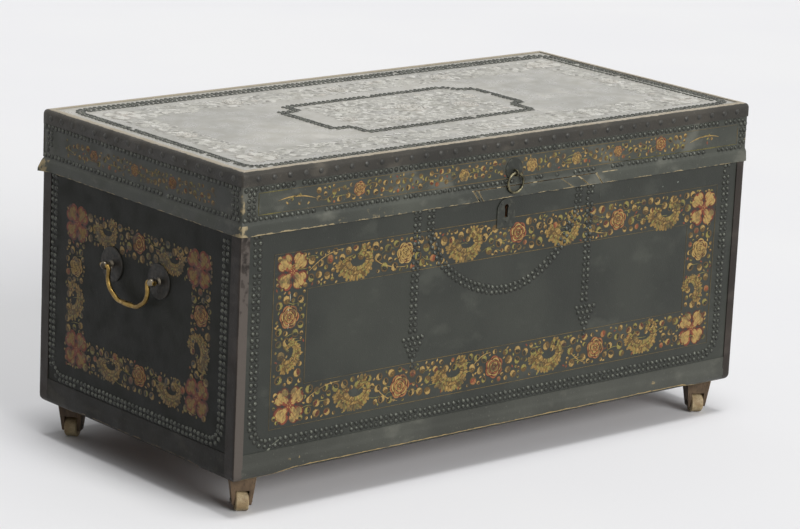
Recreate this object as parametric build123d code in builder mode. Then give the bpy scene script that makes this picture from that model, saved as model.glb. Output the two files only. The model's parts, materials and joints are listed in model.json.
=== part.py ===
from build123d import *
import math
import os

# Leather-covered camphor-wood trunk with a hinged lid, box lock, bail handles and casters.
# Millimetres. +X runs to the right along the long front, the front faces -Y and +Z is up.
# The origin is on the floor under the middle of the trunk.

os.makedirs("parts", exist_ok=True)

# ------------------------------------------------------------ driving dimensions

# Carcass, measured over its boards
length = 927.0
depth = 446.0
ground_clearance = 54.0
body_height = 349.0
board = 15.0
bottom_board = 14.0
base_round = 7.0

# Dovetails at the corners of the carcass and of the lid
body_tails = 4
lid_tails = 2
tail_share = 0.56
tail_slope = 1 / 6

# Lid, a shallow box of four rails under one board
lid_height = 67.0
lid_rail = 15.0
lid_board = 11.0
lid_overhang = 1.5
lid_round = 4.0
seat_gap = 0.2

# Leather covering and its bindings
leather = 2.0
binding = 1.2
leather_drop = 2.0
under_wrap = 10.0
corner_binding_front = 15.0
corner_binding_end = 20.0
base_binding_rise = 34.0
edge_binding_drop = 20.0
edge_binding_rim = 12.0
top_leather_drop = 5.0

# The lid's side leather hangs below the joint as a dust flap
flap_drop = 16.0
flap_start_rise = 3.0
flap_bend_drop = 2.0
flap_bend_out = 2.2
flap_edge_out = 3.2

# Nails along the edge binding
nail_head_radius = 4.2
nail_head_height = 1.6
nail_shank_radius = 0.9
nail_shank_length = 12.0
nail_pitch = 26.0
nail_inset = 11.0
nail_corner_margin = 18.0

# Fits
driven_clearance = 0.05
running_clearance = 0.05
inlay_clearance = 0.1
slide_clearance = 0.3

# Box lock, let into the inside of the front board
lock_x = -3.0
keyhole_drop = 30.0
keyhole_radius = 3.7
keyhole_slot_width = 5.4
keyhole_slot_length = 15.0
escutcheon_width = 33.0
escutcheon_height = 42.0
escutcheon_drop = 18.0
escutcheon_thickness = 1.2
escutcheon_foot_radius = 3.0
escutcheon_pin_spread = 17.0
escutcheon_pin_drop = 25.0
escutcheon_foot_pin_drop = 50.5
pin_head_radius = 1.9
pin_head_height = 0.9
pin_shank_radius = 0.7
pin_shank_length = 6.0
case_width = 76.0
case_height = 49.0
case_depth = 9.6
case_wall = 1.2
case_top_drop = 1.0
cover_thickness = 1.2
cover_margin = 8.0
key_pin_radius = 1.4
bolt_height = 8.0
bolt_drop = 13.0
bolt_tail_room = 2.8
bolt_nose_length = 8.0
bolt_nose_height = 5.0
bolt_nose_thickness = 3.0
bolt_travel = 8.0
bolt_tip_gap = 1.0
talon_width = 9.0
talon_depth = 2.4
key_sweep = 8.5
ledge_height = 2.5
ledge_length = 5.5
upper_ledge_length = 30.0
spring_thickness = 0.8
spring_span = 24.0
spring_shelf_height = 2.6
spring_width = 3.0
spring_rise = 6.0
spring_seat_gap = 0.1

# Staple under the lid that the bolt enters
staple_x = 25.0
staple_thickness = 4.0
staple_wall = 1.1
staple_side_clearance = 0.6
staple_foot = 3.0
staple_eye_clearance = 0.75
staple_plate_length = 28.0
staple_plate_width = 7.4
staple_plate_thickness = 1.5
staple_screw_spread = 20.0

# Countersunk wood screws
screw_head_radius = 2.9
screw_head_height = 1.4
screw_shank_radius = 1.5
screw_slot_width = 0.7
screw_slot_depth = 0.5
lock_screw_length = 9.0
lock_screw_inset = 4.0
hinge_screw_length = 14.0
staple_screw_length = 12.0
caster_screw_length = 11.0

# Ring and staple on the lid's front
ring_x = 6.5
ring_plate_rise = 22.8
ring_plate_radius = 15.5
ring_plate_thickness = 1.2
ring_wire_radius = 1.75
ring_radius = 14.0
eye_rise = 17.8
eye_wire_radius = 1.4
eye_bend_radius = 3.7
eye_leg_reach = 12.0
ring_clearance = 0.4

# Bail handles, one on each end
handle_y = 4.0
handle_drop = 115.0
handle_spacing = 108.0
rosette_radius = 24.5
rosette_thickness = 2.0
rosette_round = 1.2
post_reach = 13.0
post_ball_radius = 6.0
post_neck_radius = 3.6
post_shank_radius = 2.8
post_clench_radius = 4.6
post_clench_thickness = 1.4
bail_wire_radius = 3.2
bail_stub = 1.2
bail_leg_spacing = 88.0
bail_drop = 42.0
bail_shoulder_drop = 26.0
bail_belly = 3.0
bail_foot_spacing = 44.0
bail_turn_radius = 4.0
bail_bend_radius = 22.0
bail_foot_radius = 24.0
grip_length = 28.0
grip_half_height = 3.6
grip_half_width = 5.2

# Butt hinges in the joint at the back
hinge_spacing = 560.0
hinge_length = 60.0
hinge_leaf_width = 21.0
hinge_leaf = 1.5
hinge_barrel_radius = 4.0
hinge_pin_radius = 1.9
hinge_pin_head_radius = 2.8
hinge_pin_head = 1.5
hinge_knuckles = 5
hinge_knuckle_gap = 0.4
hinge_standoff = 0.6
hinge_screw_spread = 40.0
hinge_screw_inset = 6.0

# Swivel casters
caster_inset_x = 35.0
caster_inset_y = 27.0
caster_plate_length = 46.0
caster_plate_width = 32.0
caster_plate_thickness = 3.2
caster_screw_inset = 7.5
caster_turns = {"front_left": -30, "front_right": -27, "back_left": -52, "back_right": 20}
fork_gap = 0.4
fork_top_width = 36.0
fork_foot_width = 25.5
fork_top_depth = 30.0
fork_foot_depth = 19.0
fork_floor_gap = 9.0
fork_foot_round = 4.0
fork_crotch_gap = 2.0
roller_radius = 14.5
roller_width = 18.0
roller_edge = 1.5
roller_side_gap = 0.4
axle_radius = 2.5
axle_head_radius = 3.6
axle_head = 1.0
pivot_radius = 4.0
pivot_head_radius = 6.5
pivot_head = 2.6
pivot_length = 11.0

# ------------------------------------------------------------ places worked out

base_z = ground_clearance
joint_z = base_z + body_height
lid_z = joint_z + seat_gap
lid_top_z = lid_z + lid_height
rail_top_z = lid_top_z - lid_board
half_length = length / 2
half_depth = depth / 2
body_leather_top = joint_z - leather_drop
body_face = half_depth + leather
body_end = half_length + leather
lid_face = half_depth + lid_overhang + leather
front_inner = board - half_depth
body_rim = half_depth + leather + binding


def save(piece, name):
    """Label a finished piece and write it as its own STEP file."""
    piece.part.label = name
    export_step(piece.part, f"parts/{name}.step")


def spread(count, spacing):
    """Evenly spaced offsets about zero."""
    return [(i - (count - 1) / 2) * spacing for i in range(count)]


# ------------------------------------------------------------ carcass and lid boards


def rounded_block(margin, low, high, radius, round_top):
    """A solid block over the boards by a margin, its lower or upper edges rounded."""
    with BuildPart() as block:
        with BuildSketch(Plane.XY.offset(low)):
            Rectangle(length + 2 * margin, depth + 2 * margin)
        extrude(amount=high - low)
        faces = block.faces().sort_by(Axis.Z)
        fillet((faces[-1] if round_top else faces[0]).edges(), radius)
    return block


def tail_faces(margin, low, high, thickness, count):
    """Add the dovetails of both ends of a long board to the open sketch."""
    pitch = (high - low) / count
    outer = pitch * tail_share / 2
    inner = outer - thickness * tail_slope
    root = half_length + margin - thickness
    tip = half_length + margin
    for offset in spread(count, pitch):
        middle = (low + high) / 2 + offset
        for side in (-1, 1):
            Polygon(
                (side * root, middle - inner),
                (side * tip, middle - outer),
                (side * tip, middle + outer),
                (side * root, middle + inner),
                align=None,
            )


def long_board(margin, low, high, thickness, count, front):
    """The front or back board, with dovetails cut on both ends."""
    outer_face = half_depth + margin
    sketch_offset = outer_face if front else thickness - outer_face
    with BuildPart() as piece:
        with BuildSketch(Plane.XZ.offset(sketch_offset)):
            with Locations((0, (low + high) / 2)):
                Rectangle(2 * (half_length + margin - thickness), high - low)
            tail_faces(margin, low, high, thickness, count)
        extrude(amount=-thickness)
    return piece


def end_board(margin, low, high, thickness, count, side):
    """The left or right board, with the pins that the dovetails lock into."""
    outer_end = half_length + margin
    outer_face = half_depth + margin
    with BuildPart() as piece:
        with BuildSketch(Plane.YZ.offset(side * outer_end)):
            with Locations((0, (low + high) / 2)):
                Rectangle(2 * outer_face, high - low)
        extrude(amount=-side * thickness)
        for sketch_offset in (outer_face, thickness - outer_face):
            with BuildSketch(Plane.XZ.offset(sketch_offset)):
                tail_faces(margin, low, high, thickness, count)
            extrude(amount=-thickness, mode=Mode.SUBTRACT)
    return piece


body_block = rounded_block(0, base_z, joint_z, base_round, round_top=False)
lid_block = rounded_block(lid_overhang, lid_z, lid_top_z, lid_round, round_top=True)

# ------------------------------------------------------------ fasteners


def screw_shape(length_under_head, clearance):
    """A countersunk screw pointing down from z = 0, or its hole when given clearance."""
    with BuildPart() as piece:
        with BuildSketch(Plane.XZ):
            with BuildLine():
                Polyline(
                    (0, 0),
                    (screw_head_radius + clearance, 0),
                    (screw_shank_radius + clearance, -screw_head_height),
                    (screw_shank_radius + clearance, -length_under_head - clearance),
                    (0, -length_under_head - clearance),
                    close=True,
                )
            make_face()
        revolve(axis=Axis.Z)
        if clearance == 0:
            with BuildSketch():
                Rectangle(2 * screw_head_radius, screw_slot_width)
            extrude(amount=-screw_slot_depth, mode=Mode.SUBTRACT)
    return piece


def domed_nail(head_radius, head_height, shank_radius, shank_length):
    """A domed nail whose head stands on z = 0 and whose shank points down."""
    with BuildPart() as piece:
        with BuildSketch(Plane.XZ):
            with BuildLine():
                crown = (0, head_height)
                rim = (head_radius, 0)
                mid_angle = math.radians(45)
                bulge = (head_radius * math.cos(mid_angle), head_height * math.sin(mid_angle))
                ThreePointArc(crown, bulge, rim)
                Polyline(rim, (shank_radius, 0), (shank_radius, -shank_length), (0, -shank_length), crown)
            make_face()
        revolve(axis=Axis.Z)
    return piece


def outward_plane(x, y, z, direction):
    """A plane whose normal points out of the trunk's front, back, left or right side."""
    along = {"front": (1, 0, 0), "back": (-1, 0, 0), "left": (0, -1, 0), "right": (0, 1, 0)}
    out = {"front": (0, -1, 0), "back": (0, 1, 0), "left": (-1, 0, 0), "right": (1, 0, 0)}
    return Plane(origin=(x, y, z), x_dir=along[direction], z_dir=out[direction])


nail_z = lid_top_z + leather + binding - nail_inset
nail_margin = lid_overhang + leather + binding
nail_face = half_depth + nail_margin
nail_end = half_length + nail_margin
long_nails = int((2 * nail_end - 2 * nail_corner_margin) // nail_pitch) + 1
short_nails = int((2 * nail_face - 2 * nail_corner_margin) // nail_pitch) + 1
nail_spots = []
for nail_x in spread(long_nails, nail_pitch):
    nail_spots.append(outward_plane(nail_x, -nail_face, nail_z, "front"))
    nail_spots.append(outward_plane(nail_x, nail_face, nail_z, "back"))
for nail_y in spread(short_nails, nail_pitch):
    nail_spots.append(outward_plane(-nail_end, nail_y, nail_z, "left"))
    nail_spots.append(outward_plane(nail_end, nail_y, nail_z, "right"))

nail = domed_nail(nail_head_radius, nail_head_height, nail_shank_radius, nail_shank_length)
with BuildPart() as binding_nails:
    with Locations(*nail_spots):
        add(nail.part)
save(binding_nails, "binding_nails")


def cut_nail_holes():
    """Drill the open part for the binding nails."""
    with Locations(*nail_spots):
        Cylinder(
            nail_shank_radius + driven_clearance,
            nail_shank_length + driven_clearance,
            align=(Align.CENTER, Align.CENTER, Align.MAX),
            mode=Mode.SUBTRACT,
        )


def box_cut(x_low, x_high, y_low, y_high, z_low, z_high, mode=Mode.SUBTRACT):
    """A box between two corners, taken from the open part or added to it."""
    with Locations(((x_low + x_high) / 2, (y_low + y_high) / 2, (z_low + z_high) / 2)):
        Box(x_high - x_low, y_high - y_low, z_high - z_low, mode=mode)


# ------------------------------------------------------------ places of the lock

keyhole_height = joint_z - keyhole_drop
escutcheon_top = joint_z - escutcheon_drop
case_back = front_inner - cover_thickness
case_front = case_back - case_depth
case_floor = case_front + case_wall
case_top = joint_z - case_top_drop
case_bottom = case_top - case_height
bolt_y = (case_floor + case_back) / 2
bolt_z = joint_z - bolt_drop
staple_middle = lock_x + staple_x
bolt_tip = staple_middle - staple_thickness / 2 - bolt_tip_gap
bolt_shoulder = bolt_tip - bolt_nose_length
bolt_tail = lock_x - case_width / 2 + case_wall + bolt_tail_room
cover_half = case_width / 2 + cover_margin
cover_bottom = case_bottom - cover_margin / 2
lock_screw_x = cover_half - lock_screw_inset
lock_screw_spots = [
    outward_plane(lock_x + side * lock_screw_x, front_inner, height, "back")
    for side in (-1, 1)
    for height in (cover_bottom + lock_screw_inset, case_top - lock_screw_inset)
]
staple_screw_spots = [
    Plane(origin=(staple_middle + offset, bolt_y, lid_z), x_dir=(1, 0, 0), z_dir=(0, 0, -1))
    for offset in spread(2, staple_screw_spread)
]
pin_spots = [
    outward_plane(lock_x + x, -body_face - escutcheon_thickness, height, "front")
    for x, height in (
        (-escutcheon_pin_spread / 2, joint_z - escutcheon_pin_drop),
        (escutcheon_pin_spread / 2, joint_z - escutcheon_pin_drop),
        (0, joint_z - escutcheon_foot_pin_drop),
    )
]


def keyhole(front, back):
    """The keyhole as a solid between two depths along Y."""
    with BuildPart() as piece:
        with BuildSketch(Plane.XZ.offset(-front)):
            with Locations((lock_x, keyhole_height)):
                Circle(keyhole_radius)
            with Locations((lock_x, keyhole_height - keyhole_slot_length / 2)):
                Rectangle(keyhole_slot_width, keyhole_slot_length)
        extrude(amount=front - back)
    return piece


def cut_pin_holes():
    """Drill the open part for the escutcheon's pins."""
    with Locations(*pin_spots):
        Cylinder(
            pin_shank_radius + driven_clearance,
            pin_shank_length + driven_clearance,
            align=(Align.CENTER, Align.CENTER, Align.MAX),
            mode=Mode.SUBTRACT,
        )


# ------------------------------------------------------------ places of the ring

lid_rail_outer = half_depth + lid_overhang
flap_face = lid_rail_outer + flap_edge_out + leather
ring_y = -(flap_face + ring_clearance + ring_wire_radius)
eye_leg_end = eye_leg_reach - lid_face
eye_height = lid_z + eye_rise


def cut_eye_holes():
    """Drill the open part for the two legs of the ring's staple."""
    legs = [(ring_x, eye_leg_end, eye_height + side * eye_bend_radius) for side in (-1, 1)]
    with Locations(*[outward_plane(*leg, "front") for leg in legs]):
        Cylinder(
            eye_wire_radius + driven_clearance,
            2 * eye_leg_reach,
            align=(Align.CENTER, Align.CENTER, Align.MIN),
            mode=Mode.SUBTRACT,
        )


# ------------------------------------------------------------ places of the handles

handle_height = joint_z - handle_drop
handle_spots = {
    side: [
        outward_plane(x * body_end, handle_y + y, handle_height, side)
        for y in spread(2, handle_spacing)
    ]
    for side, x in (("left", -1), ("right", 1))
}


def cut_post_holes(side):
    """Drill the open part for one handle's two posts."""
    with Locations(*handle_spots[side]):
        Cylinder(
            post_shank_radius + driven_clearance,
            2 * (leather + board),
            mode=Mode.SUBTRACT,
        )


# ------------------------------------------------------------ places of the hinges

hinge_y = lid_face + hinge_standoff + hinge_barrel_radius
hinge_z = joint_z + seat_gap / 2
hinge_inner = hinge_y - hinge_leaf_width
hinge_xs = spread(2, hinge_spacing)
knuckle_length = (hinge_length - (hinge_knuckles - 1) * hinge_knuckle_gap) / hinge_knuckles
knuckle_xs = spread(hinge_knuckles, knuckle_length + hinge_knuckle_gap)
hinge_screw_xs = [x + offset for x in hinge_xs for offset in spread(3, hinge_screw_spread / 2)]
hinge_screw_y = hinge_inner + hinge_screw_inset


def facing(x, y, z, up):
    """A level plane that faces up or down."""
    return Plane(origin=(x, y, z), x_dir=(1, 0, 0), z_dir=(0, 0, up))


body_hinge_screw_spots = [facing(x, hinge_screw_y, joint_z, 1) for x in hinge_screw_xs]
lid_hinge_screw_spots = [facing(x, hinge_screw_y, lid_z, -1) for x in hinge_screw_xs]

# ------------------------------------------------------------ places of the casters

caster_places = {
    f"{end}_{side}": (x * (half_length - caster_inset_x), y * (half_depth - caster_inset_y))
    for end, y in (("front", -1), ("back", 1))
    for side, x in (("left", -1), ("right", 1))
}
caster_plate_z = base_z - caster_plate_thickness
caster_screw_spots = [
    facing(x + dx, y + dy, caster_plate_z, -1)
    for x, y in caster_places.values()
    for dx in spread(2, caster_plate_length - 2 * caster_screw_inset)
    for dy in spread(2, caster_plate_width - 2 * caster_screw_inset)
]
fork_top_z = caster_plate_z - fork_gap
fork_crotch_z = 2 * roller_radius + fork_crotch_gap
slot_width = roller_width + 2 * roller_side_gap
pivot_top_z = base_z + pivot_length

# ------------------------------------------------------------ screw holes

lock_screw_hole = screw_shape(lock_screw_length, driven_clearance)
hinge_screw_hole = screw_shape(hinge_screw_length, driven_clearance)
staple_screw_hole = screw_shape(staple_screw_length, driven_clearance)
caster_screw_hole = screw_shape(caster_screw_length, driven_clearance)


def cut_at(spots, shape):
    """Take a shape away from the open part at each of several planes."""
    with Locations(*spots):
        add(shape.part, mode=Mode.SUBTRACT)


def save_group(name, spots, shape):
    """Write one node that holds the same solid at each of several planes."""
    with BuildPart() as group:
        with Locations(*spots):
            add(shape.part)
    save(group, name)


save_group("lock_screws", lock_screw_spots, screw_shape(lock_screw_length, 0))
save_group("staple_screws", staple_screw_spots, screw_shape(staple_screw_length, 0))
save_group("hinge_screws", body_hinge_screw_spots, screw_shape(hinge_screw_length, 0))
save_group("hinge_lid_screws", lid_hinge_screw_spots, screw_shape(hinge_screw_length, 0))
save_group("caster_screws", caster_screw_spots, screw_shape(caster_screw_length, 0))
save_group(
    "escutcheon_pins",
    pin_spots,
    domed_nail(pin_head_radius, pin_head_height, pin_shank_radius, pin_shank_length),
)

# ------------------------------------------------------------ carcass boards

with BuildPart() as front_board:
    add(long_board(0, base_z, joint_z, board, body_tails, front=True).part)
    add(body_block.part, mode=Mode.INTERSECT)
    box_cut(
        lock_x - case_width / 2 - inlay_clearance,
        lock_x + case_width / 2 + inlay_clearance,
        case_front - inlay_clearance,
        front_inner,
        case_bottom - inlay_clearance,
        joint_z,
    )
    box_cut(
        lock_x - cover_half - inlay_clearance,
        lock_x + cover_half + inlay_clearance,
        case_back,
        front_inner,
        cover_bottom - inlay_clearance,
        joint_z,
    )
    add(keyhole(-half_depth, case_front).part, mode=Mode.SUBTRACT)
    cut_pin_holes()
    cut_at(lock_screw_spots, lock_screw_hole)
save(front_board, "front_board")

with BuildPart() as back_board:
    add(long_board(0, base_z, joint_z, board, body_tails, front=False).part)
    add(body_block.part, mode=Mode.INTERSECT)
    for x in hinge_xs:
        box_cut(
            x - hinge_length / 2 - inlay_clearance,
            x + hinge_length / 2 + inlay_clearance,
            hinge_inner - inlay_clearance,
            half_depth,
            joint_z - hinge_leaf,
            joint_z,
        )
    cut_at(body_hinge_screw_spots, hinge_screw_hole)
save(back_board, "back_board")

for side_name, sign in (("left", -1), ("right", 1)):
    with BuildPart() as end_piece:
        add(end_board(0, base_z, joint_z, board, body_tails, sign).part)
        add(body_block.part, mode=Mode.INTERSECT)
        cut_post_holes(side_name)
    save(end_piece, f"{side_name}_board")

with BuildPart() as bottom_panel:
    with BuildSketch(Plane.XY.offset(base_z)):
        Rectangle(length - 2 * board, depth - 2 * board)
    extrude(amount=bottom_board)
    for x, y in caster_places.values():
        with Locations((x, y, base_z)):
            Cylinder(
                pivot_radius + driven_clearance,
                pivot_length + driven_clearance,
                align=(Align.CENTER, Align.CENTER, Align.MIN),
                mode=Mode.SUBTRACT,
            )
    cut_at(caster_screw_spots, caster_screw_hole)
save(bottom_panel, "bottom_board")

# ------------------------------------------------------------ lid boards

with BuildPart() as lid_top_board:
    with BuildSketch(Plane.XY.offset(rail_top_z)):
        Rectangle(length + 2 * lid_overhang, depth + 2 * lid_overhang)
    extrude(amount=lid_board)
    add(lid_block.part, mode=Mode.INTERSECT)
    cut_nail_holes()
save(lid_top_board, "lid_top_board")

with BuildPart() as lid_front_rail:
    add(long_board(lid_overhang, lid_z, rail_top_z, lid_rail, lid_tails, front=True).part)
    box_cut(
        staple_middle - staple_plate_length / 2 - inlay_clearance,
        staple_middle + staple_plate_length / 2 + inlay_clearance,
        bolt_y - staple_plate_width / 2 - inlay_clearance,
        lid_rail - lid_rail_outer,
        lid_z,
        lid_z + staple_plate_thickness,
    )
    cut_at(staple_screw_spots, staple_screw_hole)
    cut_eye_holes()
save(lid_front_rail, "lid_front_rail")

with BuildPart() as lid_back_rail:
    add(long_board(lid_overhang, lid_z, rail_top_z, lid_rail, lid_tails, front=False).part)
    for x in hinge_xs:
        box_cut(
            x - hinge_length / 2 - inlay_clearance,
            x + hinge_length / 2 + inlay_clearance,
            hinge_inner - inlay_clearance,
            lid_rail_outer,
            lid_z,
            lid_z + hinge_leaf,
        )
    cut_at(lid_hinge_screw_spots, hinge_screw_hole)
save(lid_back_rail, "lid_back_rail")

for side_name, sign in (("left", -1), ("right", 1)):
    lid_end_rail = end_board(lid_overhang, lid_z, rail_top_z, lid_rail, lid_tails, sign)
    save(lid_end_rail, f"lid_{side_name}_rail")

# ------------------------------------------------------------ leather of the body


def side_region(side, margin, reach_in, low, high):
    """The part of the trunk along one of its sides, mitred at the two corners."""
    x = half_length + margin
    y = half_depth + margin
    corners = {
        "front": ((-x, -y), (x, -y), (x - reach_in, reach_in - y), (reach_in - x, reach_in - y)),
        "back": ((-x, y), (x, y), (x - reach_in, y - reach_in), (reach_in - x, y - reach_in)),
        "left": ((-x, -y), (-x, y), (reach_in - x, y - reach_in), (reach_in - x, reach_in - y)),
        "right": ((x, -y), (x, y), (x - reach_in, y - reach_in), (x - reach_in, reach_in - y)),
    }
    with BuildPart() as region:
        with BuildSketch(Plane.XY.offset(low)):
            with BuildLine():
                Polyline(*corners[side], close=True)
            make_face()
        extrude(amount=high - low)
    return region


body_leather_block = rounded_block(
    leather, base_z - leather, body_leather_top, base_round + leather, round_top=False
)
body_binding_block = rounded_block(
    leather + binding,
    base_z - leather - binding,
    body_leather_top,
    base_round + leather + binding,
    round_top=False,
)

for side_name in ("front", "back", "left", "right"):
    with BuildPart() as panel:
        add(body_leather_block.part)
        add(body_block.part, mode=Mode.SUBTRACT)
        region = side_region(
            side_name, leather, leather + under_wrap, base_z - leather, joint_z
        )
        add(region.part, mode=Mode.INTERSECT)
        if side_name == "front":
            add(keyhole(-body_face, -half_depth).part, mode=Mode.SUBTRACT)
            cut_pin_holes()
        if side_name in handle_spots:
            cut_post_holes(side_name)
    save(panel, f"{side_name}_leather")

rim_x = half_length + leather + binding
corner_size = (corner_binding_front, corner_binding_end)
corner_places = [
    (x * (rim_x - corner_binding_front / 2), y * (body_rim - corner_binding_end / 2))
    for x in (-1, 1)
    for y in (-1, 1)
]


def rim_sketch():
    """The plan of a strip that turns under the body by the wrap."""
    Rectangle(2 * rim_x, 2 * body_rim)
    Rectangle(length - 2 * under_wrap, depth - 2 * under_wrap, mode=Mode.SUBTRACT)


with BuildPart() as corner_bindings:
    add(body_binding_block.part)
    add(body_leather_block.part, mode=Mode.SUBTRACT)
    with BuildSketch(Plane.XY.offset(base_z - leather - binding)):
        rim_sketch()
        Rectangle(2 * (rim_x - corner_binding_front), 2 * body_rim, mode=Mode.SUBTRACT)
        Rectangle(2 * rim_x, 2 * (body_rim - corner_binding_end), mode=Mode.SUBTRACT)
    extrude(amount=body_height, mode=Mode.INTERSECT)
save(corner_bindings, "corner_bindings")

with BuildPart() as base_bindings:
    add(body_binding_block.part)
    add(body_leather_block.part, mode=Mode.SUBTRACT)
    with BuildSketch(Plane.XY.offset(base_z - leather - binding)):
        rim_sketch()
        with Locations(*corner_places):
            Rectangle(*corner_size, mode=Mode.SUBTRACT)
    extrude(amount=leather + binding + base_binding_rise, mode=Mode.INTERSECT)
save(base_bindings, "base_bindings")

# ------------------------------------------------------------ leather of the lid

top_split_z = lid_top_z - top_leather_drop
lid_leather_block = rounded_block(
    lid_overhang + leather, lid_z, lid_top_z + leather, lid_round + leather, round_top=True
)
lid_binding_block = rounded_block(
    nail_margin, lid_z, lid_top_z + leather + binding, lid_round + leather + binding, round_top=True
)

with BuildPart() as lid_top_leather:
    add(lid_leather_block.part)
    add(lid_block.part, mode=Mode.SUBTRACT)
    with BuildSketch(Plane.XY.offset(top_split_z)):
        Rectangle(2 * rim_x + length, 2 * body_rim + depth)
    extrude(amount=lid_height, mode=Mode.INTERSECT)
save(lid_top_leather, "lid_top_leather")


def lid_side_profile(face, hangs):
    """The section of the lid's side leather, out from a board's face, with or without a flap."""
    inner = [(0, top_split_z)]
    if hangs:
        inner.append((0, joint_z + flap_start_rise))
        inner.append((flap_bend_out, joint_z - flap_bend_drop))
        inner.append((flap_edge_out, joint_z - flap_drop))
    else:
        inner.append((0, lid_z + leather_drop))
    outer = [(out + leather, height) for out, height in reversed(inner)]
    sign = math.copysign(1, face)
    return [(face + sign * out, height) for out, height in inner + outer]


lid_end_outer = half_length + lid_overhang
lid_sides = {
    "front": (Plane.YZ, -lid_rail_outer),
    "back": (Plane.YZ, lid_rail_outer),
    "left": (Plane.XZ, -lid_end_outer),
    "right": (Plane.XZ, lid_end_outer),
}
flap_margin = lid_overhang + flap_edge_out + leather

for side_name, (profile_plane, face) in lid_sides.items():
    with BuildPart() as panel:
        with BuildSketch(profile_plane):
            with BuildLine():
                Polyline(*lid_side_profile(face, side_name != "back"), close=True)
            make_face()
        extrude(amount=length, both=True)
        region = side_region(
            side_name, flap_margin, 2 * flap_margin, joint_z - flap_drop, lid_top_z
        )
        add(region.part, mode=Mode.INTERSECT)
        cut_nail_holes()
        if side_name == "front":
            cut_eye_holes()
    save(panel, f"lid_{side_name}_leather")

with BuildPart() as lid_edge_binding:
    add(lid_binding_block.part)
    add(lid_leather_block.part, mode=Mode.SUBTRACT)
    with BuildSketch(Plane.XY.offset(lid_top_z + leather + binding - edge_binding_drop)):
        Rectangle(2 * nail_end, 2 * nail_face)
        Rectangle(
            2 * (nail_end - edge_binding_rim),
            2 * (nail_face - edge_binding_rim),
            mode=Mode.SUBTRACT,
        )
    extrude(amount=edge_binding_drop, mode=Mode.INTERSECT)
    cut_nail_holes()
save(lid_edge_binding, "lid_edge_binding")

# ------------------------------------------------------------ lock

with BuildPart() as escutcheon:
    with BuildSketch(Plane.XZ.offset(body_face)):
        arch_z = escutcheon_top - escutcheon_width / 2
        foot_z = escutcheon_top - escutcheon_height
        with Locations((lock_x, (arch_z + foot_z) / 2)):
            Rectangle(escutcheon_width, arch_z - foot_z)
        feet = escutcheon_foot_radius
        fillet(vertices().group_by(Axis.Y)[0], feet)
        with Locations((lock_x, arch_z)):
            Circle(escutcheon_width / 2)
    extrude(amount=escutcheon_thickness)
    add(keyhole(-body_face - escutcheon_thickness, -body_face).part, mode=Mode.SUBTRACT)
    cut_pin_holes()
save(escutcheon, "escutcheon")

with BuildPart() as lock_case:
    box_cut(
        lock_x - case_width / 2,
        lock_x + case_width / 2,
        case_front,
        case_back,
        case_bottom,
        case_top,
        mode=Mode.ADD,
    )
    box_cut(
        lock_x - case_width / 2 + case_wall,
        lock_x + case_width / 2 - case_wall,
        case_floor,
        case_back,
        case_bottom + case_wall,
        case_top - case_wall,
    )
    box_cut(
        staple_middle - staple_thickness / 2 - staple_side_clearance,
        staple_middle + staple_thickness / 2 + staple_side_clearance,
        case_floor,
        case_back,
        case_top - case_wall,
        case_top,
    )
    ledge_back = case_back - slide_clearance
    lower_ledge_z = bolt_z - bolt_height / 2 - slide_clearance
    upper_ledge_z = bolt_z + bolt_height / 2 + slide_clearance
    spring_shelf_z = lower_ledge_z - spring_rise - spring_thickness - spring_seat_gap
    box_cut(
        lock_x + key_sweep,
        lock_x + key_sweep + ledge_length,
        case_floor,
        ledge_back,
        lower_ledge_z - ledge_height,
        lower_ledge_z,
        mode=Mode.ADD,
    )
    box_cut(
        lock_x - upper_ledge_length / 2,
        lock_x + upper_ledge_length / 2,
        case_floor,
        ledge_back,
        upper_ledge_z,
        upper_ledge_z + ledge_height,
        mode=Mode.ADD,
    )
    box_cut(
        lock_x - case_width / 2 + case_wall,
        lock_x - key_sweep,
        case_floor,
        ledge_back,
        spring_shelf_z - spring_shelf_height,
        spring_shelf_z,
        mode=Mode.ADD,
    )
    add(keyhole(case_front, case_floor).part, mode=Mode.SUBTRACT)
save(lock_case, "lock_case")

with BuildPart() as lock_cover:
    box_cut(
        lock_x - cover_half,
        lock_x + cover_half,
        case_back,
        front_inner,
        cover_bottom,
        case_top,
        mode=Mode.ADD,
    )
    with BuildSketch(Plane.XZ.offset(-case_back)):
        with Locations((lock_x, keyhole_height)):
            Circle(key_pin_radius)
    extrude(amount=case_depth)
    cut_at(lock_screw_spots, lock_screw_hole)
save(lock_cover, "lock_cover")

with BuildPart() as lock_bolt:
    bolt_half = (case_back - case_floor) / 2 - slide_clearance
    box_cut(
        bolt_tail,
        bolt_shoulder,
        bolt_y - bolt_half,
        bolt_y + bolt_half,
        bolt_z - bolt_height / 2,
        bolt_z + bolt_height / 2,
        mode=Mode.ADD,
    )
    box_cut(
        bolt_shoulder,
        bolt_tip,
        bolt_y - bolt_nose_thickness / 2,
        bolt_y + bolt_nose_thickness / 2,
        bolt_z - bolt_nose_height / 2,
        bolt_z + bolt_nose_height / 2,
        mode=Mode.ADD,
    )
    box_cut(
        lock_x - bolt_travel / 2 - talon_width / 2,
        lock_x - bolt_travel / 2 + talon_width / 2,
        bolt_y - bolt_half,
        bolt_y + bolt_half,
        bolt_z - bolt_height / 2,
        bolt_z - bolt_height / 2 + talon_depth,
    )
save(lock_bolt, "lock_bolt")

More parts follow.
